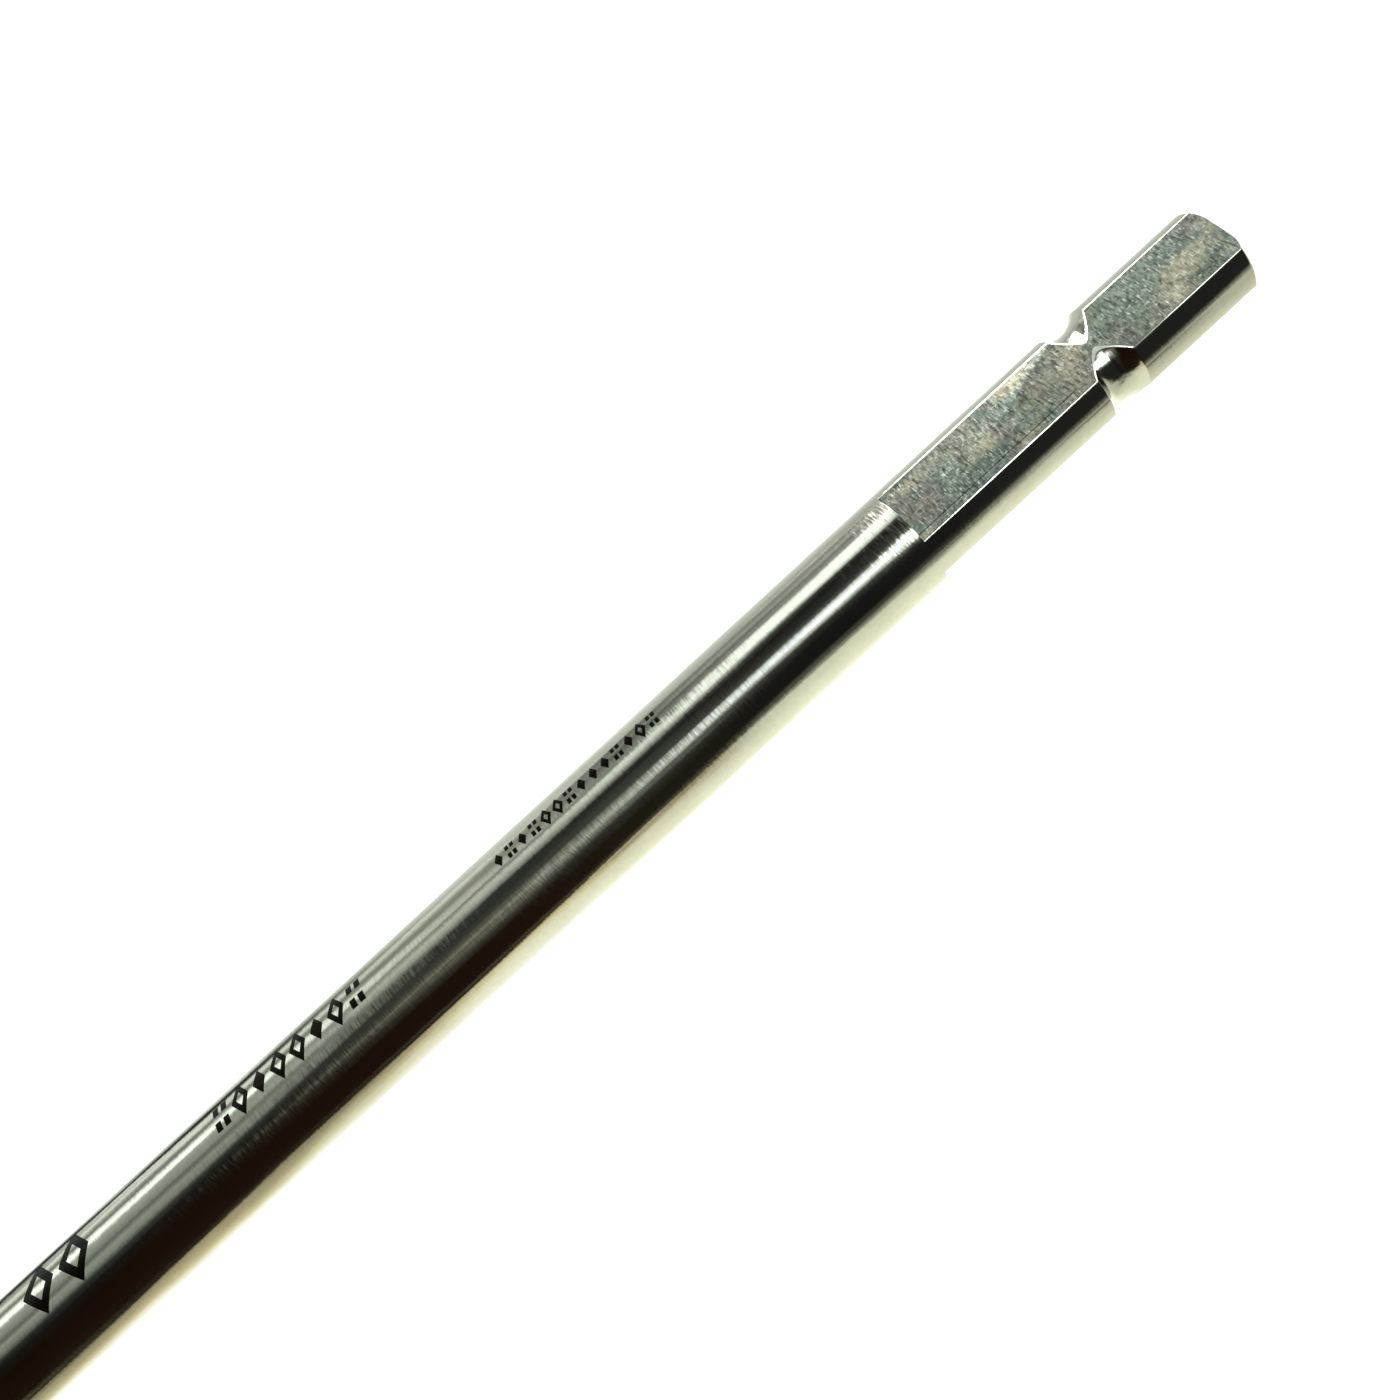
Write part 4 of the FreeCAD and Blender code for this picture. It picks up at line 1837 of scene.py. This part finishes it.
REAR = Zone(-0.47, 4.0, (
    Band(-180, 1.60, MILK), Band(-127, 1.10), Band(-118, 0.90), Band(-113, 0.45, COOL),
    Band(-109, 0.03, COOL), Band(-101, 0.03, COOL), Band(-96, 0.45, COOL), Band(-92, 1.10),
    Band(-86, 1.15), Band(-79, 0.45), Band(-73, 0.20), Band(-67, 1.0, COOL), Band(-62, 2.1, COOL),
    Band(-55, 2.1, COOL), Band(-49, 0.50), Band(-36, 0.40), Band(-26, 0.18), Band(-15, 0.44),
    Band(-8, 0.34), Band(2, 0.06), Band(12, 0.012), Band(34, 0.013, UMBER), Band(60, 0.016, UMBER),
    Band(90, 0.016, UMBER), Band(97, 0.05, STRAW), Band(102, 0.36, STRAW), Band(115, 0.60, STRAW),
    Band(124, 0.90, STRAW), Band(132, 1.25, CREAM), Band(141, 1.45, MILK), Band(151, 1.6, MILK),
    Band(180, 1.70, MILK),
))


@dataclass
class Studio:
    """Soft light all round the tool: a bench lit from below, and strips of light above it.

    The camera sees the bench and the room plain and pale, and the steel reflects the bands.

    Attributes:
        zones: the light along the tool, from past the shank's end backwards.
        half_width: half the bench's width, in metres.
        bench_glow: how bright the bench looks.
        bench_diffuse: how much of the light that falls on it the bench gives back.
        bench_roughness: its roughness.
        bench_tint: colour of its glow.
        ripple: how far the bench's bands stray, in degrees.
        ripple_size: size of the ripples along X, Y and Z, in millimetres.
        backdrop: colour of the room as it is seen.
    """

    zones: Tuple[Zone, ...] = (GLINT, SHANK, SHANK_END, FORE, MIDDLE, REAR)
    half_width: float = 4.0
    bench_glow: float = 0.97
    bench_diffuse: float = 0.3
    bench_roughness: float = 0.9
    bench_tint: str = "#FFFFFC"
    ripple: float = 36.0
    ripple_size: Tuple[float, float, float] = (20.0, 90.0, 1.0)
    backdrop: str = "#FBFBF8"

    def build(self) -> None:
        """Makes the bench and the world."""
        self.build_bench()
        self.build_world()

    def build_bench(self) -> None:
        """Makes the floor."""
        mesh = bmesh.new()
        bmesh.ops.create_grid(mesh, x_segments=1, y_segments=1, size=self.half_width)
        floor = new_object("floor", mesh)
        made = bare_material("opal acrylic, lit from below")
        tree = made.node_tree
        place = add_node(tree, "ShaderNodeTexCoord").outputs["Object"]
        xyz = add_node(tree, "ShaderNodeSeparateXYZ", inputs={0: place}).outputs
        sums = Sums(tree)
        stretched = add_node(tree, "ShaderNodeMapping", inputs={
            "Vector": place, "Scale": tuple(1 / (size * MM) for size in self.ripple_size)})
        ripple = add_node(tree, "ShaderNodeTexNoise", inputs={
            "Vector": stretched.outputs[0], "Scale": 1.0, "Detail": 4.0}).outputs[0]
        turn = sums(
            "ADD", sums("ARCTAN2", sums("MULTIPLY", xyz[1], -1.0), -AXIS_Z),
            sums("MULTIPLY", sums("SUBTRACT", ripple, 0.5), math.radians(self.ripple)))
        lit = self.light(tree, turn, xyz[0], [zone.bench * MM for zone in self.zones])
        glow = add_node(tree, "ShaderNodeEmission", inputs={"Color": lit})
        plain = add_node(tree, "ShaderNodeBsdfPrincipled", inputs={
            "Base Color": (self.bench_diffuse,) * 3 + (1.0,),
            "Roughness": self.bench_roughness,
            "Specular IOR Level": 0.0,
            "Emission Color": linear(self.bench_tint),
            "Emission Strength": self.bench_glow,
        })
        reflected = add_node(tree, "ShaderNodeLightPath").outputs["Is Glossy Ray"]
        mixed = add_node(tree, "ShaderNodeMixShader", inputs={
            0: reflected, 1: plain.outputs[0], 2: glow.outputs[0]})
        add_node(tree, "ShaderNodeOutputMaterial", inputs={"Surface": mixed.outputs[0]})
        floor.data.materials.append(made)

    def build_world(self) -> None:
        """Makes the room's light and gives it to the scene."""
        world = bpy.data.worlds.new("studio")
        world.use_nodes = True
        tree = world.node_tree
        tree.nodes.clear()
        sums = Sums(tree)
        way = add_node(tree, "ShaderNodeTexCoord").outputs["Generated"]
        xyz = add_node(tree, "ShaderNodeSeparateXYZ", inputs={0: way}).outputs
        turn = sums("ARCTAN2", sums("MULTIPLY", xyz[1], -1.0), xyz[2])
        lit = self.light(tree, turn, xyz[0], [zone.sky for zone in self.zones])
        bands = add_node(tree, "ShaderNodeBackground", inputs={"Color": lit})
        plain = add_node(tree, "ShaderNodeBackground", inputs={"Color": linear(self.backdrop)})
        seen = add_node(tree, "ShaderNodeLightPath").outputs["Is Camera Ray"]
        mixed = add_node(tree, "ShaderNodeMixShader", inputs={
            0: seen, 1: bands.outputs[0], 2: plain.outputs[0]})
        add_node(tree, "ShaderNodeOutputWorld", inputs={"Surface": mixed.outputs[0]})
        bpy.context.scene.world = world

    def light(self, tree: Tree, turn: Socket, along: Socket, places: Sequence[float]) -> Socket:
        """The bands' light, blended from zone to zone.

        Args:
            tree: the node tree.
            turn: direction round the tool in radians, from straight up towards -Y.
            along: what the zones follow along X.
            places: the value of along at which each zone is full.

        Returns:
            The light's colour.
        """
        place = Sums(tree)("MULTIPLY_ADD", turn, 0.5 / math.pi, 0.5)
        light = self.bands(tree, place, self.zones[0].bands)
        for zone, start, end in zip(self.zones[1:], places, places[1:]):
            share = add_node(tree, "ShaderNodeMapRange", {"interpolation_type": "SMOOTHSTEP"}, {
                "Value": along, "From Min": start, "From Max": end})
            light = add_node(
                tree, "ShaderNodeMix", {"data_type": "RGBA", "clamp_result": False}, {
                    "Factor": share.outputs[0], 6: light,
                    7: self.bands(tree, place, zone.bands)}).outputs[2]
        return light

    @staticmethod
    def bands(tree: Tree, place: Socket, bands: Sequence[Band]) -> Socket:
        """One zone's bands in a colour ramp, scaled up to their brightest.

        Args:
            tree: the node tree.
            place: direction round the tool, from 0 to 1 for -180 to 180 degrees.
            bands: the zone's bands.

        Returns:
            The light's colour.
        """
        node = add_node(tree, "ShaderNodeValToRGB", inputs={0: place})
        stops = node.color_ramp.elements
        while len(stops) < len(bands):
            stops.new(1.0)
        top = max(band.level for band in bands)
        for stop, band in zip(stops, bands):
            stop.position = 0.5 + band.angle / 360
            stop.color = [part * band.level / top for part in linear(band.tint)[:3]] + [1.0]
        return add_node(tree, "ShaderNodeVectorMath", {"operation": "SCALE"}, {
            0: node.outputs[0], "Scale": top}).outputs[0]


def main() -> None:
    """Builds the scene."""
    logging.basicConfig(level=logging.INFO, format="%(name)s: %(message)s")
    scene = bpy.context.scene
    scene.view_settings.view_transform = "Standard"
    Camera().build()
    Studio().build()
    palette = Palette()
    for assembly in (
            DriveShaft(), PunchPoint(), SpringStack(), CenteringSleeve(), SleeveNose(),
            Bushings(), GripCollar()):
        for piece in assembly.build(palette):
            LOG.info("%s: %d faces", piece.name, len(piece.data.polygons))


if __name__ == "__main__":
    main()
